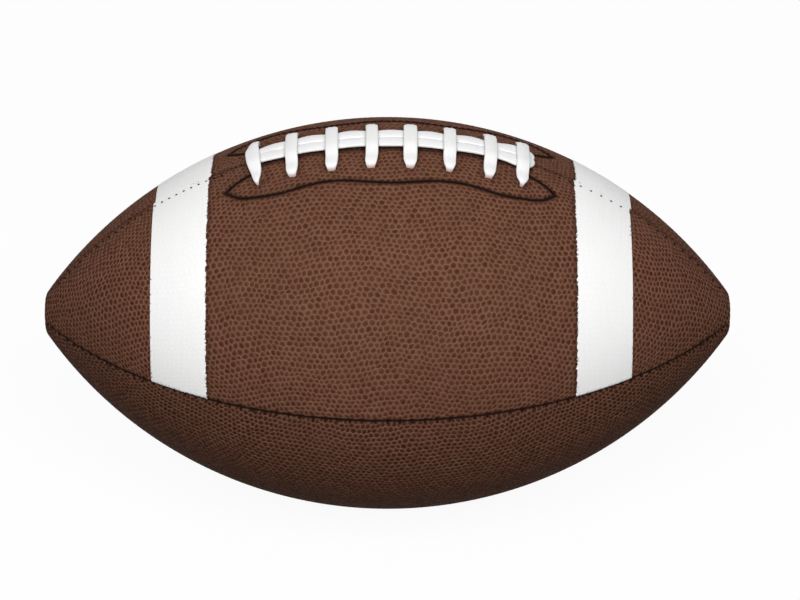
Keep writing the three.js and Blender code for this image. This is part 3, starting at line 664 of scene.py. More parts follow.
def cover_panel(panel):
    """The pebbled sheet with its lips, its flesh side, and a wall from each place on the sheet's border to
    the nearest one on the flesh side's."""
    height = panel.relief * np.clip(0.25 + panel.to_seam / RELIEF_EDGE, 0, 1)
    stitches = panel.seam_stitches()
    # painted shade in the groove along each seam and where the seam's stitches pull the lips in
    soil = (0.35 + 0.5 * panel.tone) * bell(panel.to_seam, 0.95) + 0.4 * stitches
    faces = panel.faces
    if panel.upper:
        dent, dark = lace_dents(panel)
        height, soil = height + dent, soil + dark
        # painted shade in a thin line on the leather beside each stripe's inner edge
        for inner, outer in stripe_edges(panel.half):
            beyond = (panel.x - inner) * np.sign(inner - outer)
            soil += (0.3 + 0.5 * panel.tone) * bell(beyond - 0.45, 0.75)
    if panel.with_valve:
        off = np.hypot(panel.arc, panel.angle * panel.radius)
        faces = faces[(off[faces] > VALVE_HOLE + 0.15).all(axis=1)]
        height = height - 0.2 * bell(off - VALVE_HOLE, 1.2)
    height = height - panel.lip() - SEAM_STITCH_DENT * stitches
    outside = on_ball(panel.arc, panel.middle + panel.angle, height)
    floor_arc, floor_angle, floor_faces, floor_border = flesh_side(panel.with_valve)
    inside = on_ball(floor_arc, panel.middle + floor_angle, -COVER)
    under = len(outside)
    border = skirt(faces)
    rim, ends = np.unique(border, return_inverse=True)
    apart = np.linalg.norm(outside[rim][:, None] - inside[floor_border], axis=-1)
    below = floor_border[apart.argmin(axis=1)][ends.reshape(-1, 2)] + under
    steps = below[:, 0] != below[:, 1]
    wall = [
        np.stack([border[:, 1], border[:, 0], below[:, 0]], -1),
        np.stack([border[:, 1], below[:, 0], below[:, 1]], -1)[steps],
    ]
    bare = np.zeros(len(inside))
    floor_side = floor_angle * profile(floor_arc)[1]
    values = {
        "grain": np.append(panel.grain, bare),
        "tone": np.append(panel.tone, bare),
        "soil": np.append(np.clip(soil, 0, 1), bare + 0.5),
        "bake_u": np.append(panel.flat[:, 0], floor_arc) / BAKE_SIDE + 0.5,
        "bake_v": np.append(panel.flat[:, 1] / BAKE_SIDE + 0.25, floor_side / BAKE_SIDE + 0.75),
    }
    sheets = [faces, *wall, *(part + under for part in floor_faces)]
    forms = [(np.concatenate([outside, inside]), sheets, values)]
    if panel.with_valve:
        rim_ring = lathe(VALVE_RIM, 48)
        plain = np.ones(rim_ring[0].size // 3)
        shares = {"grain": 0.6, "tone": 0, "soil": 0.2, "bake_u": 0.02, "bake_v": 0.02}
        forms.append((*rim_ring, {key: share * plain for key, share in shares.items()}))
    make_piece("cover_" + panel.place, "panel_" + panel.place, "leather", *forms)


def stripe_film(name, panel, inner, outer, seed):
    """The film over the panel's own pebbles between two places along the ball, lifted off them with less
    relief. Its inner edge strays from pebble to pebble and its outer edge runs true. An underside of the
    same faces and a wall round the border close it."""
    rng = np.random.default_rng(seed)
    ragged = rng.uniform(-STRIPE_RAGGED, STRIPE_RAGGED, len(panel.x))
    inward = np.sign(inner - outer)
    inner_arc, outer_arc = arc_at(inner), arc_at(outer)
    arc = inward * np.clip(inward * panel.arc, inward * outer_arc, inward * inner_arc + ragged)
    faces = kept_faces(panel.faces, np.sign(arc - panel.arc))
    radius = profile(arc)[1]
    edge = edge_angle(radius, np.where(panel.by_lace(), FILM_GAP, SEAM_GAP) / 2)
    angle = np.clip(panel.angle * panel.radius / radius, -edge, edge)
    angle = panel.middle + np.where(panel.to_seam < ON_SEAM, np.sign(panel.angle) * edge, angle)
    height = STRIPE_RELIEF * panel.relief + STRIPE_LIFT - panel.lip(FILM_LIP)
    top, floor = on_ball(arc, angle, height), on_ball(arc, angle, height - FILM_THICKNESS)
    under = len(top)
    border = skirt(faces)
    rim, ends = np.unique(border, return_inverse=True)
    high, low = ends.reshape(-1, 2) + 2 * under, border + under
    wall = np.stack([high[:, 1], high[:, 0], low[:, 0], low[:, 1]], -1)
    flat = panel.flat / BAKE_SIDE + 0.5
    values = {"grain": panel.grain, "tone": panel.tone, "bake_u": flat[:, 0], "bake_v": flat[:, 1]}
    values = {key: np.concatenate([value, value, value[rim]]) for key, value in values.items()}
    form = (np.concatenate([top, floor, top[rim]]), [faces, faces[:, ::-1] + under, wall], values)
    make_piece("white_" + name, name, "stripe_film", form)


# The lace

# The first crossing is folded like a leaf: its place off its holes and its width, from the front hole over
# the strands to the rear hole
LEAF_CROSSING = (
    (-0.6, 1.3), (-0.6, 0.8), (-0.65, 1.7), (-0.7, 2.9), (-0.85, 4.2), (-1.4, 5.2),
    (-2.0, 5.4), (-1.2, 2.8), (-0.8, 1.8), (-0.8, 1.2), (-0.8, 0.8), (-0.8, 1.2),
)

# Each crossing but the first: how far its middle lies off its holes along the ball, its width over the
# strands, and the shares of that width that are left at the front hole and the rear hole
CROSSING_SHAPES = (
    (0.1, 4.6, 0.72, 0.85),
    (0.3, 4.7, 0.78, 0.86),
    (0.5, 4.6, 0.80, 0.80),
    (0.0, 5.1, 0.70, 0.84),
    (-0.1, 4.7, 0.62, 0.86),
    (0.3, 4.8, 0.70, 0.82),
    (-0.1, 4.9, 0.36, 0.80),
)


def crossing_shape(lean, width, front_share, rear_share):
    """Place off its holes and width at each level of a crossing, from its front hole to its rear hole."""
    front, rear = width * front_share, width * rear_share
    offs = (0, 0, 0, 0.2 * lean, 0.9 * lean, lean, lean, 0.7 * lean, 0.4 * lean, 0, 0, 0)
    widths = (
        front, 0.75 * front, front, (front + 5 * width) / 6, width, width, width,
        (rear + 3 * width) / 4, (rear + width) / 2, rear, 0.75 * rear, rear,
    )
    return tuple(zip(offs, widths))


def lace_corners():
    """The lace's route as corners: x, s, height, heading of its width in degrees from +x towards +s, the
    radius of the bend, its width and its thickness."""
    inside, rear, front = -LACE_INSIDE, *STRANDS

    def corner(x, s, height, heading, bend=0, wider=0, thicker=0):
        return x, s, height, heading, bend, LACE_WIDTH + wider, LACE_THICKNESS + thicker

    def strand(s, heading, places):
        rows = []
        for x in places:
            swing = 0.5 - 0.5 * math.cos(2 * math.pi * (x - CROSSING_X[1]) / CROSSING_PITCH)
            wider, higher, thicker = (puff * swing for puff in STRAND_PUFF)
            sway = STRAND_SWAY * math.sin(0.31 * x + s)
            pinch = STRAND_PINCH * bell(x - STRAND_DIVE_X, 9.0) * (s < STRAND_MIDDLE)
            near_loop = bell(x - LOOP_X, 4.5)
            flare = near_loop * (LOOP_FLARE[1] if s > STRAND_MIDDLE else -LOOP_FLARE[0])
            place = (x, s + sway + pinch + flare, STRAND_HEIGHT + higher)
            rows.append(corner(*place, heading, 0, wider + LOOP_WIDER * near_loop, thicker))
        return rows

    xs = np.linspace(STRAND_DIVE_X, LOOP_X, 44)[1:-1]
    corners = [
        corner(STRAND_DIVE_X - TAIL, rear, inside, 90),
        corner(STRAND_DIVE_X, rear + STRAND_PINCH, inside, 90, LACE_BEND),
        corner(STRAND_DIVE_X, rear + STRAND_PINCH, STRAND_HEIGHT, 90, LACE_BEND),
        *strand(rear, 90, xs),
    ]
    loop_middle = STRAND_MIDDLE + (LOOP_FLARE[1] - LOOP_FLARE[0]) / 2
    loop_half = STRAND_PITCH / 2 + (LOOP_FLARE[1] + LOOP_FLARE[0]) / 2
    for degrees in np.linspace(-90, 90, 13):
        turn = math.radians(degrees)
        x = LOOP_X + STRAND_PITCH / 2 * (0.72 * math.cos(turn) + 0.3 * abs(math.sin(2 * turn)))
        s = loop_middle + loop_half * math.sin(turn)
        lift = 0.2 * math.cos(turn)
        wider = LOOP_WIDER * abs(math.sin(turn))
        corners.append(corner(x, s, STRAND_HEIGHT + lift, 180 + degrees, 0, wider, lift))
    corners += [
        *strand(front, 270, xs[::-1]),
        corner(STRAND_DIVE_X, front, STRAND_HEIGHT, 270, LACE_BEND),
        corner(STRAND_DIVE_X, front, inside, 270, LACE_BEND),
        corner(CROSSING_X[0], front, inside, 315, LACE_FLAT_TURN),
        corner(CROSSING_X[0], (front + HOLE_REACH) / 2, inside, 360),
    ]
    shelf = STRAND_HALF + SHELF_OVERHANG
    front_s, rear_s = STRAND_MIDDLE + shelf, STRAND_MIDDLE - shelf
    levels = (
        (HOLE_REACH, inside, LACE_BEND), (HOLE_REACH, -0.6, 0), (HOLE_REACH, STRAND_HEIGHT * 0.8, LACE_BEND),
        (HOLE_REACH - 1.6, STRAND_HEIGHT, 0), (front_s + RAMP, STRAND_HEIGHT, LACE_BEND),
        (front_s, SHELF_HEIGHT, LACE_BEND), (STRAND_MIDDLE, SHELF_HEIGHT + 0.1, 0),
        (rear_s, SHELF_HEIGHT, LACE_BEND), (rear_s - RAMP, STRAND_HEIGHT, LACE_BEND),
        (-HOLE_REACH, STRAND_HEIGHT * 0.8, LACE_BEND), (-HOLE_REACH, -0.6, 0),
        (-HOLE_REACH, inside, LACE_BEND),
    )
    shapes = [LEAF_CROSSING] + [crossing_shape(*values) for values in CROSSING_SHAPES]
    for k, (x, shape) in enumerate(zip(CROSSING_X, shapes)):
        for (s, height, bend), (off, width) in zip(levels, shape):
            corners.append(corner(x + off, s, height, 360, bend, width - LACE_WIDTH))
        if k == CROSSINGS - 1:
            break
        step = CROSSING_X[k + 1] - x
        heading = 360 - math.degrees(math.atan2(step, 2 * HOLE_REACH))
        for share in (0.15, 0.35, 0.5, 0.65, 0.85):
            corners.append(corner(x + step * share, HOLE_REACH * (2 * share - 1), inside, heading))
    corners.append(corner(CROSSING_X[-1], TAIL - HOLE_REACH, inside, 360))
    return np.array(corners)


def rounded(corners, steps=6):
    """Each corner with a bend becomes a quadratic curve from a little before it to a little after."""
    route = []
    for k, corner in enumerate(corners):
        bend = corner[4]
        if not bend:
            route.append(corner)
            continue
        before, after = corners[k - 1], corners[k + 1]
        start = corner + (before - corner) * min(bend / np.linalg.norm((before - corner)[:3]), 0.5)
        end = corner + (after - corner) * min(bend / np.linalg.norm((after - corner)[:3]), 0.5)
        t = np.linspace(0, 1, steps)[:, None]
        route += list((1 - t) ** 2 * start + 2 * t * (1 - t) * corner + t**2 * end)
    return np.array(route)


def evenly(route, spacing):
    """The route sampled anew at an even spacing, and softened by a short moving mean."""
    route = route[np.append(True, np.diff(running_length(route[:, :3])) > 1e-6)]
    distance = running_length(route[:, :3])
    wanted = np.linspace(0, distance[-1], int(distance[-1] / spacing))
    sampled = np.stack([np.interp(wanted, distance, column) for column in route.T], -1)
    kernel = np.array([1, 2, 3, 2, 1]) / 9
    padded = np.pad(sampled, ((2, 2), (0, 0)), mode="edge")
    soft = np.stack([np.convolve(column, kernel, mode="valid") for column in padded.T], -1)
    return soft, wanted


def lace_band():
    """The lace in one length. Its section is a superellipse, powers of a cosine and a sine, with three
    shallow grooves along each face, carried along the route with its width held to the route's heading."""
    route, distance = evenly(rounded(lace_corners()), 0.6)
    x, s, height, heading, _, width, thick = route.T
    centre = near_lace(x, s, height)
    turn = np.radians(heading)
    probe = 0.01
    across = near_lace(x + probe * np.cos(turn), s + probe * np.sin(turn), height) - centre
    along = unit(np.gradient(centre, axis=0))
    across = unit(across - (across * along).sum(axis=1, keepdims=True) * along)
    up = np.cross(along, across)
    sides = 28
    t = np.linspace(0, 2 * math.pi, sides, endpoint=False)
    circle = (np.cos(t), np.sin(t))
    a, b = (np.sign(share) * np.abs(share) ** power for share, power in zip(circle, SECTION_POWERS))
    groove = 1 - GROOVE_DEPTH * (0.5 + 0.5 * np.cos(2 * math.pi * GROOVES * a)) * (np.abs(a) < 0.9)
    offset_a = (width[:, None] / 2) * a
    offset_b = (thick[:, None] / 2) * b * groove
    rings = centre[:, None] + offset_a[..., None] * across[:, None] + offset_b[..., None] * up[:, None]
    points, faces = closed_tubes(rings[None])
    lane = np.concatenate([np.tile((a + 1) / 2, len(rings)), [0.5, 0.5]])
    reach = np.concatenate([np.repeat(distance, sides), [distance[0], distance[-1]]])
    place_x, place_y, place_z = points.reshape(-1, 3).T
    above = np.hypot(place_y, place_z) - profile(arc_at(place_x))[1]
    # low is 1 at the leather and 0 from 1.1 mm above it; the finish paints reddish shade on the lace with it
    values = {"lane": lane, "reach": reach, "low": np.clip(1 - above / 1.1, 0, 1)}
    make_piece("lace_band", "lace", "lace_vinyl", (points, faces, values))


# Threads

def facing_stitch(half, sideways):
    """Short stitches along a facing's route, each an arc whose ends dive under the surface: its height is
    a top less a dive times the fourth power of the distance from its middle."""
    top, dive, length, taper = -0.06, 0.4, 2.5, 0.55
    distance = running_length(FACING_ROUTE)
    starts = np.linspace(0, distance[-1] - length, round(distance[-1] / FACING_STITCH_PITCH))
    t = np.linspace(0, 1, 9)
    at = starts[:, None] + t * length
    x = np.interp(at, distance, FACING_ROUTE[:, 0])
    s = sideways * np.interp(at, distance, FACING_ROUTE[:, 1])
    height = top - dive * (2 * t - 1) ** 4 + 0 * at
    thin = FACING_STITCH / 2 * (1 - taper * (2 * t - 1) ** 6) + 0 * at
    stitches = cords(near_lace, x, s, height, thin, 8)
    make_piece(f"sewn_facing_stitch_{half}", f"facing_stitch_{half}", "thread", stitches)


def seam_thread(name, angle, ends, crossing, pitch=SEAM_STITCH_PITCH):
    """A thread low in a seam's groove, and its stitches: bars over it, or dots beside a tight seam."""
    arcs = np.linspace(*(arc_at(x) for x in ends), 90)[None]
    thread = cords(on_ball, arcs, angle, -THREAD_DEPTH[0] if crossing else -THREAD_DEPTH[1], THREAD / 2, 6)
    first, last = (int(round(arc_at(x) / pitch)) for x in ends)
    places = np.arange(first, last + 1)[:, None] * pitch
    t = np.linspace(-1, 1, 9)
    if crossing:
        arc = places + 0.12 * t
        around = angle + BAR_REACH * t / profile(arc)[1]
        height, radius = -0.42 + 0.1 * (1 - t**2) + 0 * arc, THREAD / 2
    else:
        arc = places + 0.3 * t
        around = angle + DOT_OFF / profile(arc)[1]
        height, radius = 0.12 - 0.5 * t**2 + 0 * arc, DOT_RADIUS
    stitches = cords(on_ball, arc, around, height, radius, 8)
    make_piece(f"sewn_seam_thread_{name}", f"seam_thread_{name}", "thread", thread, stitches)


# Pieces inside the ball

def lining(panel):
    arcs = np.linspace(-LONG_ARC, LONG_ARC, 90)[:, None]
    radius = profile(arcs, -LINING[0])[1]
    set_in = LINING_SET_IN * np.minimum(1, radius / FULL_LIP_RADIUS)
    angles = panel.middle + edge_angle(radius, set_in) * np.linspace(-1, 1, 24)
    form = flat_sheet(on_ball, arcs, angles, LINING)
    if panel.with_valve:
        form = open_at_valve(*form, angles.size, VALVE_FLANGE_HOLE)
    make_piece(f"lining_{panel.place}_cloth", f"lining_{panel.place}", "lining_cloth", form)


def facing(half, side):
    """A facing sheet under the lace holes: from beside the lace seam to a little past the wavy stitch."""
    past = max(LEAF_PAST) + FACING_MARGIN
    x = np.linspace(CROSSING_X[0] - past, CROSSING_X[-1] + past, 80)[:, None]
    near_end = np.minimum(x - x[0], x[-1] - x) / FACING_NARROWING
    outer = (WAVE_MIDDLE + WAVE_HEIGHT + FACING_MARGIN) * np.minimum(1, 0.7 + 0.3 * near_end)
    s = side * (LINING_SET_IN + (outer - LINING_SET_IN) * np.linspace(0, 1, 16))
    sheet = flat_sheet(near_lace, x, s, FACING)
    make_piece(f"facing_{half}_sheet", f"facing_{half}", "facing_leather", sheet)


def guard_flap():
    ends = (STRAND_DIVE_X - TAIL - FLAP_MARGIN, CROSSING_X[-1] + LACE_WIDTH / 2 + FLAP_MARGIN)
    x = np.linspace(*ends, 70)[:, None]
    s = np.linspace(-FLAP_SIDE, FLAP_SIDE, 20)
    make_piece("flap_sheet", "guard_flap", "lining_cloth", flat_sheet(near_lace, x, s, FLAP))


def bladder_skin():
    """A blown-up skin: the profile turned round the axis at a depth, pressed in under the guard flap by
    smooth steps along and round the ball, with an inner skin one wall deeper."""
    arcs = np.linspace(-LONG_ARC, LONG_ARC, 110)[:, None]
    angles = np.linspace(-math.pi, math.pi, 72, endpoint=False)
    press = fall(np.abs(profile(arcs)[0] - PRESS_MIDDLE), *PRESS_LENGTH) * fall(np.abs(angles), *PRESS_ANGLE)
    outer, inner = (closed_tubes(on_ball(arcs, angles, -d - PRESS_DEPTH * press)[None]) for d in BLADDER)
    under = outer[0].size // 3
    side, caps = outer[1]
    faces = [side, side[:, ::-1] + under, caps, caps[:, ::-1] + under]
    form = open_at_valve(np.stack([outer[0], inner[0]]), faces, under, VALVE_FLANGE_HOLE)
    make_piece("bladder_skin", "bladder", "bladder_rubber", form)


# Finishes

class Signal:
    """An output of a node. Arithmetic on it adds Math nodes."""

    def __init__(self, nodes, socket):
        self.nodes, self.socket = nodes, socket

    def math(self, operation, first, second):
        return self.nodes.node("ShaderNodeMath", {0: first, 1: second}, operation=operation)

    def __add__(self, other):
        return self.math("ADD", self, other)

    def __sub__(self, other):
        return self.math("SUBTRACT", self, other)

    def __rsub__(self, other):
        return self.math("SUBTRACT", other, self)

    def __mul__(self, other):
        return self.math("MULTIPLY", self, other)

    __radd__ = __add__
    __rmul__ = __mul__


class Nodes:
    """The nodes of a material or a world."""

    def __init__(self, owner):
        owner.use_nodes = True
        self.tree = owner.node_tree
        self.tree.nodes.clear()

    def node(self, kind, inputs=None, output=0, **settings):
        """A new node with its settings, its inputs linked or set, and one of its outputs handed back."""
        made = self.tree.nodes.new(kind)
        for key, value in settings.items():
            setattr(made, key, value)
        for key, value in (inputs or {}).items():
            if isinstance(value, Signal):
                self.tree.links.new(value.socket, made.inputs[key])
            else:
                made.inputs[key].default_value = value
        return Signal(self, made.outputs[output]) if made.outputs else made

    def mix(self, factor, first, second):
        return self.node("ShaderNodeMixShader", {0: factor, 1: first, 2: second})

    def seen(self):
        """1 where the camera, a mirror or a clear piece looks straight at the surface, 0 for other light."""
        keys = ("Is Camera Ray", "Is Glossy Ray", "Is Transmission Ray")
        camera, glossy, clear = (self.node("ShaderNodeLightPath", output=key) for key in keys)
        return camera.math("MINIMUM", camera + glossy + clear, 1.0)


class Shader(Nodes):
    """A material's nodes, which end in one Principled shader."""

    def __init__(self, name):
        self.material = bpy.data.materials.new(name)
        super().__init__(self.material)

    def value(self, name):
        return self.node("ShaderNodeAttribute", output="Fac", attribute_name=name)

    def place(self):
        return self.node("ShaderNodeTexCoord", output="Object")

    def noise(self, scale, detail, rough=0.5, at=None):
        inputs = {"Vector": at or self.place(), "Scale": scale, "Detail": detail, "Roughness": rough}
        return self.node("ShaderNodeTexNoise", inputs, "Fac")

    def wave(self, inputs, axis="X"):
        return self.node("ShaderNodeTexWave", inputs, "Fac", bands_direction=axis, wave_profile="SIN")

    def spread(self, value, low, high, share=1.0):
        """0 where the value is low, a share where it is high, and even between."""
        inputs = {"Value": value, "From Min": low, "From Max": high, "To Max": share}
        return self.node("ShaderNodeMapRange", inputs, clamp=True)

    def blend(self, factor, first, second):
        inputs = {0: factor, 6: first, 7: second}
        return self.node("ShaderNodeMix", inputs, 2, data_type="RGBA", clamp_factor=True)

    def tint(self, base, value, low, high, share, shade):
        """The base, blended with a shade by up to a share as the value goes from low to high."""
        return self.blend(self.spread(value, low, high, share), base, shade)

    def bump(self, height, distance, strength):
        return self.node("ShaderNodeBump", {"Height": height, "Distance": distance, "Strength": strength})

    def finish(self, colour, roughness, normal, specular):
        inputs = {"Base Color": colour, "Roughness": roughness, "Normal": normal}
        surface = self.node("ShaderNodeBsdfPrincipled", {**inputs, "Specular IOR Level": specular})
        self.node("ShaderNodeOutputMaterial", {"Surface": surface})
        return self.material


def colour(red, green, blue):
    """A colour given as it shows on a screen, from 0 to 255, turned into a linear one."""
    shown = np.array([red, green, blue]) / 255
    linear = np.where(shown <= 0.04, shown / 12.92, ((shown + 0.055) / 1.055) ** 2.4)
    return (*linear.tolist(), 1.0)


def leather_finish():
    """Dark pebbles in a lighter web, each pebble a shade of its own, with drifts of redder and greyer
    hide, and painted shade from the soil attribute blended in as a near-black brown."""
    shader = Shader("pebbled_leather")
    grain, tone, soil = shader.value("grain"), shader.value("tone"), shader.value("soil")
    fine = shader.noise(1500, 3, 0.6)
    broad = shader.noise(38, 3, 0.55)
    drift = shader.noise(160, 2)
    pebble = shader.blend(tone, colour(44, 20, 11), colour(86, 49, 34))
    web = shader.blend(drift, colour(125, 89, 71), colour(136, 101, 83))
    mask = shader.spread(grain + (fine - 0.5) * 0.35, 0.08, 0.95)
    hide = shader.blend(mask, web, pebble)
    hide = shader.tint(hide, drift, 0.3, 0.7, 0.30, colour(94, 54, 44))
    hide = shader.tint(hide, broad, 0.35, 0.75, 0.22, colour(82, 56, 40))
    # painted shade at seams, stitch creases, lace holes, beside the strands and the stripes' inner edges
    hide = shader.blend(soil * 0.82, hide, colour(26, 17, 13))
    rough = 0.62 - 0.12 * grain + (fine - 0.5) * 0.15
    relief = shader.bump(fine * 0.6 + shader.noise(420, 2) * 0.4, 0.00009, 0.6)
    return shader.finish(hide, rough, relief, 0.008)


def stripe_finish():
    """White film that lets the pebbles through faintly, with thin streaks round the ball."""
    shader = Shader("stripe_film")
    grain = shader.value("grain")
    place = shader.node("ShaderNodeMapping", {"Vector": shader.place(), "Scale": (900.0, 60.0, 60.0)})
    streak = shader.spread(shader.noise(1.0, 3, 0.6, place), 0.45, 0.8)
    film = shader.blend(grain, colour(244, 244, 244), colour(248, 248, 247))
    film = shader.blend(streak * 0.18, film, colour(224, 226, 228))
    film = shader.tint(film, shader.noise(45, 2), 0.45, 0.8, 0.3, colour(244, 243, 240))
    fine = shader.noise(1300, 2, 0.55)
    return shader.finish(film, 0.5 + (fine - 0.5) * 0.2, shader.bump(fine, 0.00005, 0.5), 0.3)


def lace_finish():
    """Smooth white vinyl with fine grain along it, which follows the lace's own length and width, with
    painted shade and reddish bounce light from the leather where the lace lies near the leather.
    """
    shader = Shader("lace_vinyl")
    lane, reach = shader.value("lane"), shader.value("reach")
    along = shader.node("ShaderNodeCombineXYZ", {0: lane * 26.0, 1: reach * 0.16, 2: 0.0})
    fibre = shader.noise(1.0, 3, 0.6, along)
    blotch = shader.noise(220, 2)
    white = shader.blend(shader.spread(fibre, 0.35, 0.7), colour(233, 234, 235), colour(245, 244, 242))
    white = shader.tint(white, blotch, 0.5, 0.8, 0.35, colour(240, 238, 240))
    # painted shade and reddish bounce light from the leather where the lace lies low
    white = shader.blend(shader.value("low") * 0.6, white, colour(176, 118, 104))
    relief = shader.bump(fibre, 0.00016, 0.6)
    return shader.finish(white, 0.36 + 0.2 * fibre, relief, 0.2)


def thread_finish():
    """Waxed black thread: two plies that wind round it, over fine fibres."""
    shader = Shader("thread")
    place = shader.node("ShaderNodeMapping", {"Vector": shader.place(), "Rotation": (0.0, 0.0, 0.7)})
    ply = shader.wave({"Vector": place, "Scale": 800.0})
    fibre = shader.noise(4000, 2, 0.6)
    dye = shader.blend(fibre, colour(23, 14, 11), colour(48, 33, 27))
    dye = shader.blend(ply * 0.4, dye, colour(12, 10, 10))
    return shader.finish(dye, 0.6 + 0.2 * fibre, shader.bump(ply + 0.5 * fibre, 0.0001, 0.7), 0.03)


def cloth_finish():
    """Coarse undyed cotton: warp and weft at 0.8 mm, under a film of glue."""
    shader = Shader("lining_cloth")
    yarns = {"Vector": shader.place(), "Scale": 200.0, "Distortion": 0.6, "Detail": 1.0}
    weave = shader.wave(yarns) * shader.wave(yarns, "Y")
    slub = shader.noise(90, 4, 0.6)
    yarn = shader.blend(weave, colour(142, 130, 108), colour(186, 175, 152))
    yarn = shader.tint(yarn, slub, 0.4, 0.7, 0.5, colour(160, 140, 110))
    return shader.finish(yarn, 0.9 - 0.1 * weave, shader.bump(weave, 0.0002, 0.8), 0.2)


def facing_finish():
    """Split leather, flesh side: a short brown nap over a blotchy ground."""
    shader = Shader("facing_leather")
    nap = shader.noise(1800, 4, 0.7)
    ground = shader.noise(70, 3)
    hide = shader.blend(nap, colour(64, 44, 34), colour(98, 72, 56))
    hide = shader.tint(hide, ground, 0.4, 0.7, 0.5, colour(78, 50, 36))
    return shader.finish(hide, 0.85 + 0.1 * nap, shader.bump(nap, 0.0002, 0.8), 0.2)


def rubber_finish(name, dark, light, scale, gloss):
    """Moulded rubber: a faint bloom and a fine orange-peel skin."""
    shader = Shader(name)
    bloom = shader.noise(scale, 4, 0.6)
    peel = shader.noise(2200, 2)
    skin = shader.blend(bloom, dark, light)
    return shader.finish(skin, 0.5 + 0.25 * bloom, shader.bump(peel, 0.00006, 0.5), gloss)


# The studio

# Metres, the lens in millimetres, angles in degrees from straight in front, and power in watts
WHITE = (1, 1, 1, 1)
FLOOR_HALF_SIDE = 8.0
FLOOR_SINK = 0.0002
FLOOR_SEEN = (0.95, 0.95, 0.95, 1)
FLOOR_BOUNCE = (0.12, 0.12, 0.12, 1)
FLOOR_GLOW = 0.94  # share of its own light in the floor as it is seen
FILL = 0.1
LAMP_SIZE = (2.2, 1.2)
LAMPS = (("key", 0, 48, 2.2, 60), ("back", 180, 24, 2.6, 10))  # azimuth, elevation, distance, power
CAMERA_DISTANCE = 1.45
CAMERA_ELEVATION = 32.3
FOCAL_LENGTH = 174.8
SENSOR_WIDTH = 36
PICTURE_WIDTH, PICTURE_HEIGHT = 800, 600
BALL_CENTRE_X, BALL_CENTRE_Y = 387.5, 312.9  # pixels of the ball's middle in the picture


def floor():
    """A pale floor that meets the ball's lowest point. Seen straight or mirrored it is nearly white with
    the ball's shadow on it, and it throws back only a part of its light."""
    mesh = bpy.data.meshes.new("floor")
    level = cad_box[0][2] - FLOOR_SINK
    size = FLOOR_HALF_SIDE
    corners = [(-size, -size, level), (size, -size, level), (size, size, level), (-size, size, level)]
    mesh.from_pydata(corners, [], [(0, 1, 2, 3)])
    plane = placed("floor", mesh)
    material = bpy.data.materials.new("floor")
    nodes = Nodes(material)
    pale, dim = (nodes.node("ShaderNodeBsdfDiffuse", {"Color": c}) for c in (FLOOR_SEEN, FLOOR_BOUNCE))
    glow = nodes.node("ShaderNodeEmission", {"Color": WHITE, "Strength": 1.0})
    surface = nodes.mix(nodes.seen(), dim, nodes.mix(FLOOR_GLOW, pale, glow))
    nodes.node("ShaderNodeOutputMaterial", {"Surface": surface})
    mesh.materials.append(material)


def world():
    """Soft fill from all round, and white where the camera or a mirror looks past the floor."""
    sky = bpy.data.worlds.new("studio")
    bpy.context.scene.world = sky
    nodes = Nodes(sky)
    fill, white = (
        nodes.node("ShaderNodeBackground", {"Color": WHITE, "Strength": power}) for power in (FILL, 1.0)
    )
    nodes.node("ShaderNodeOutputWorld", {"Surface": nodes.mix(nodes.seen(), fill, white)})


def toward(azimuth, elevation, distance):
    """A place round the ball: azimuth 0 is straight in front, on the -Y side."""
    a, e = math.radians(azimuth), math.radians(elevation)
    return np.array([-math.sin(a) * math.cos(e), -math.cos(a) * math.cos(e), math.sin(e)]) * distance


def aim(thing, place):
    thing.location = place
    thing.rotation_euler = Vector(-place).to_track_quat("-Z", "Y").to_euler()


def soft_lamp(name, azimuth, elevation, distance, power):
    light = bpy.data.lights.new(name, "AREA")
    light.shape, light.energy = "RECTANGLE", power
    light.size, light.size_y = LAMP_SIZE
    aim(placed(name, light), toward(azimuth, elevation, distance))


def camera():
    """The photograph's angle. The shift puts the ball's middle where the picture has it."""
    lens = bpy.data.cameras.new("camera")
    lens.sensor_width, lens.lens = SENSOR_WIDTH, FOCAL_LENGTH
    lens.shift_x = (PICTURE_WIDTH / 2 - BALL_CENTRE_X) / PICTURE_WIDTH
    lens.shift_y = (BALL_CENTRE_Y - PICTURE_HEIGHT / 2) / PICTURE_WIDTH
    lens.clip_start, lens.clip_end = 0.05, 30
    viewer = placed("camera", lens)
    aim(viewer, toward(0, CAMERA_ELEVATION, CAMERA_DISTANCE))
    bpy.context.scene.camera = viewer


# Everything in its place

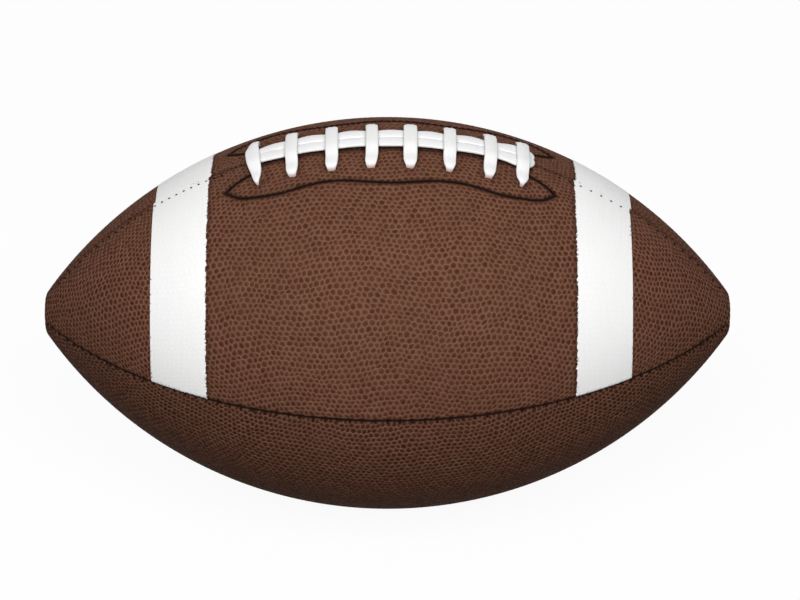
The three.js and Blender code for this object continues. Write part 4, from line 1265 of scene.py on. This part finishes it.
camera()
FINISHES = {
    "leather": leather_finish(),
    "stripe_film": stripe_finish(),
    "lace_vinyl": lace_finish(),
    "thread": thread_finish(),
    "lining_cloth": cloth_finish(),
    "facing_leather": facing_finish(),
    "bladder_rubber": rubber_finish("bladder_rubber", colour(22, 21, 21), colour(40, 38, 37), 60, 0.4),
    "valve_rubber": rubber_finish("valve_rubber", colour(34, 29, 27), colour(52, 45, 41), 500, 0.35),
}

# Place, quarters round from the lace seam to its middle, lips, how far its pebbles fill their cells and
# darken with painted shade, seed
PANELS = (
    ("front_upper", 0.5, (LACE_LIP, SEAM_LIP), 0.0, 11),
    ("rear_upper", -0.5, (SEAM_LIP, LACE_LIP), 0.0, 12),
    ("front_lower", 1.5, (SEAM_LIP, SEAM_LIP), 0.6, 13),
    ("rear_lower", 2.5, (SEAM_LIP, SEAM_LIP), 0.6, 14),
)
for place, quarters, lips, full, seed in PANELS:
    panel = Panel(place, quarters * QUARTER, lips, full, seed)
    cover_panel(panel)
    lining(panel)
    if not panel.upper:
        continue
    half = panel.half
    for (inner, outer), end in zip(stripe_edges(half), ("left", "right")):
        stripe_film(f"stripe_{half}_{end}", panel, inner, outer, seed + 20)
    facing(half, panel.side)
    facing_stitch(half, panel.side)

lace_band()
guard_flap()
bladder_skin()
for name, node, outline in (("body", "housing", VALVE_HOUSING), ("core", "plug", VALVE_PLUG)):
    make_piece("valve_" + name, "valve_" + node, "valve_rubber", lathe(outline, 64))

seam_end = LENGTH / 2 - THREAD_SET_BACK
for name, quarters in (("front", 1), ("bottom", 2), ("rear", -1)):
    seam_thread(name, quarters * QUARTER, (-seam_end, seam_end), True)
left_end, right_start = CROSSING_X[0] - LACE_SEAM_FREE, CROSSING_X[-1] + LACE_SEAM_FREE
seam_thread("lace_left", 0.0, (-seam_end, left_end), False, LACE_SEAM_PITCHES[0])
seam_thread("lace_right", 0.0, (right_start, seam_end), False, LACE_SEAM_PITCHES[1])

floor()
world()
for lamp in LAMPS:
    soft_lamp(*lamp)
bpy.context.scene.view_settings.view_transform = "Standard"
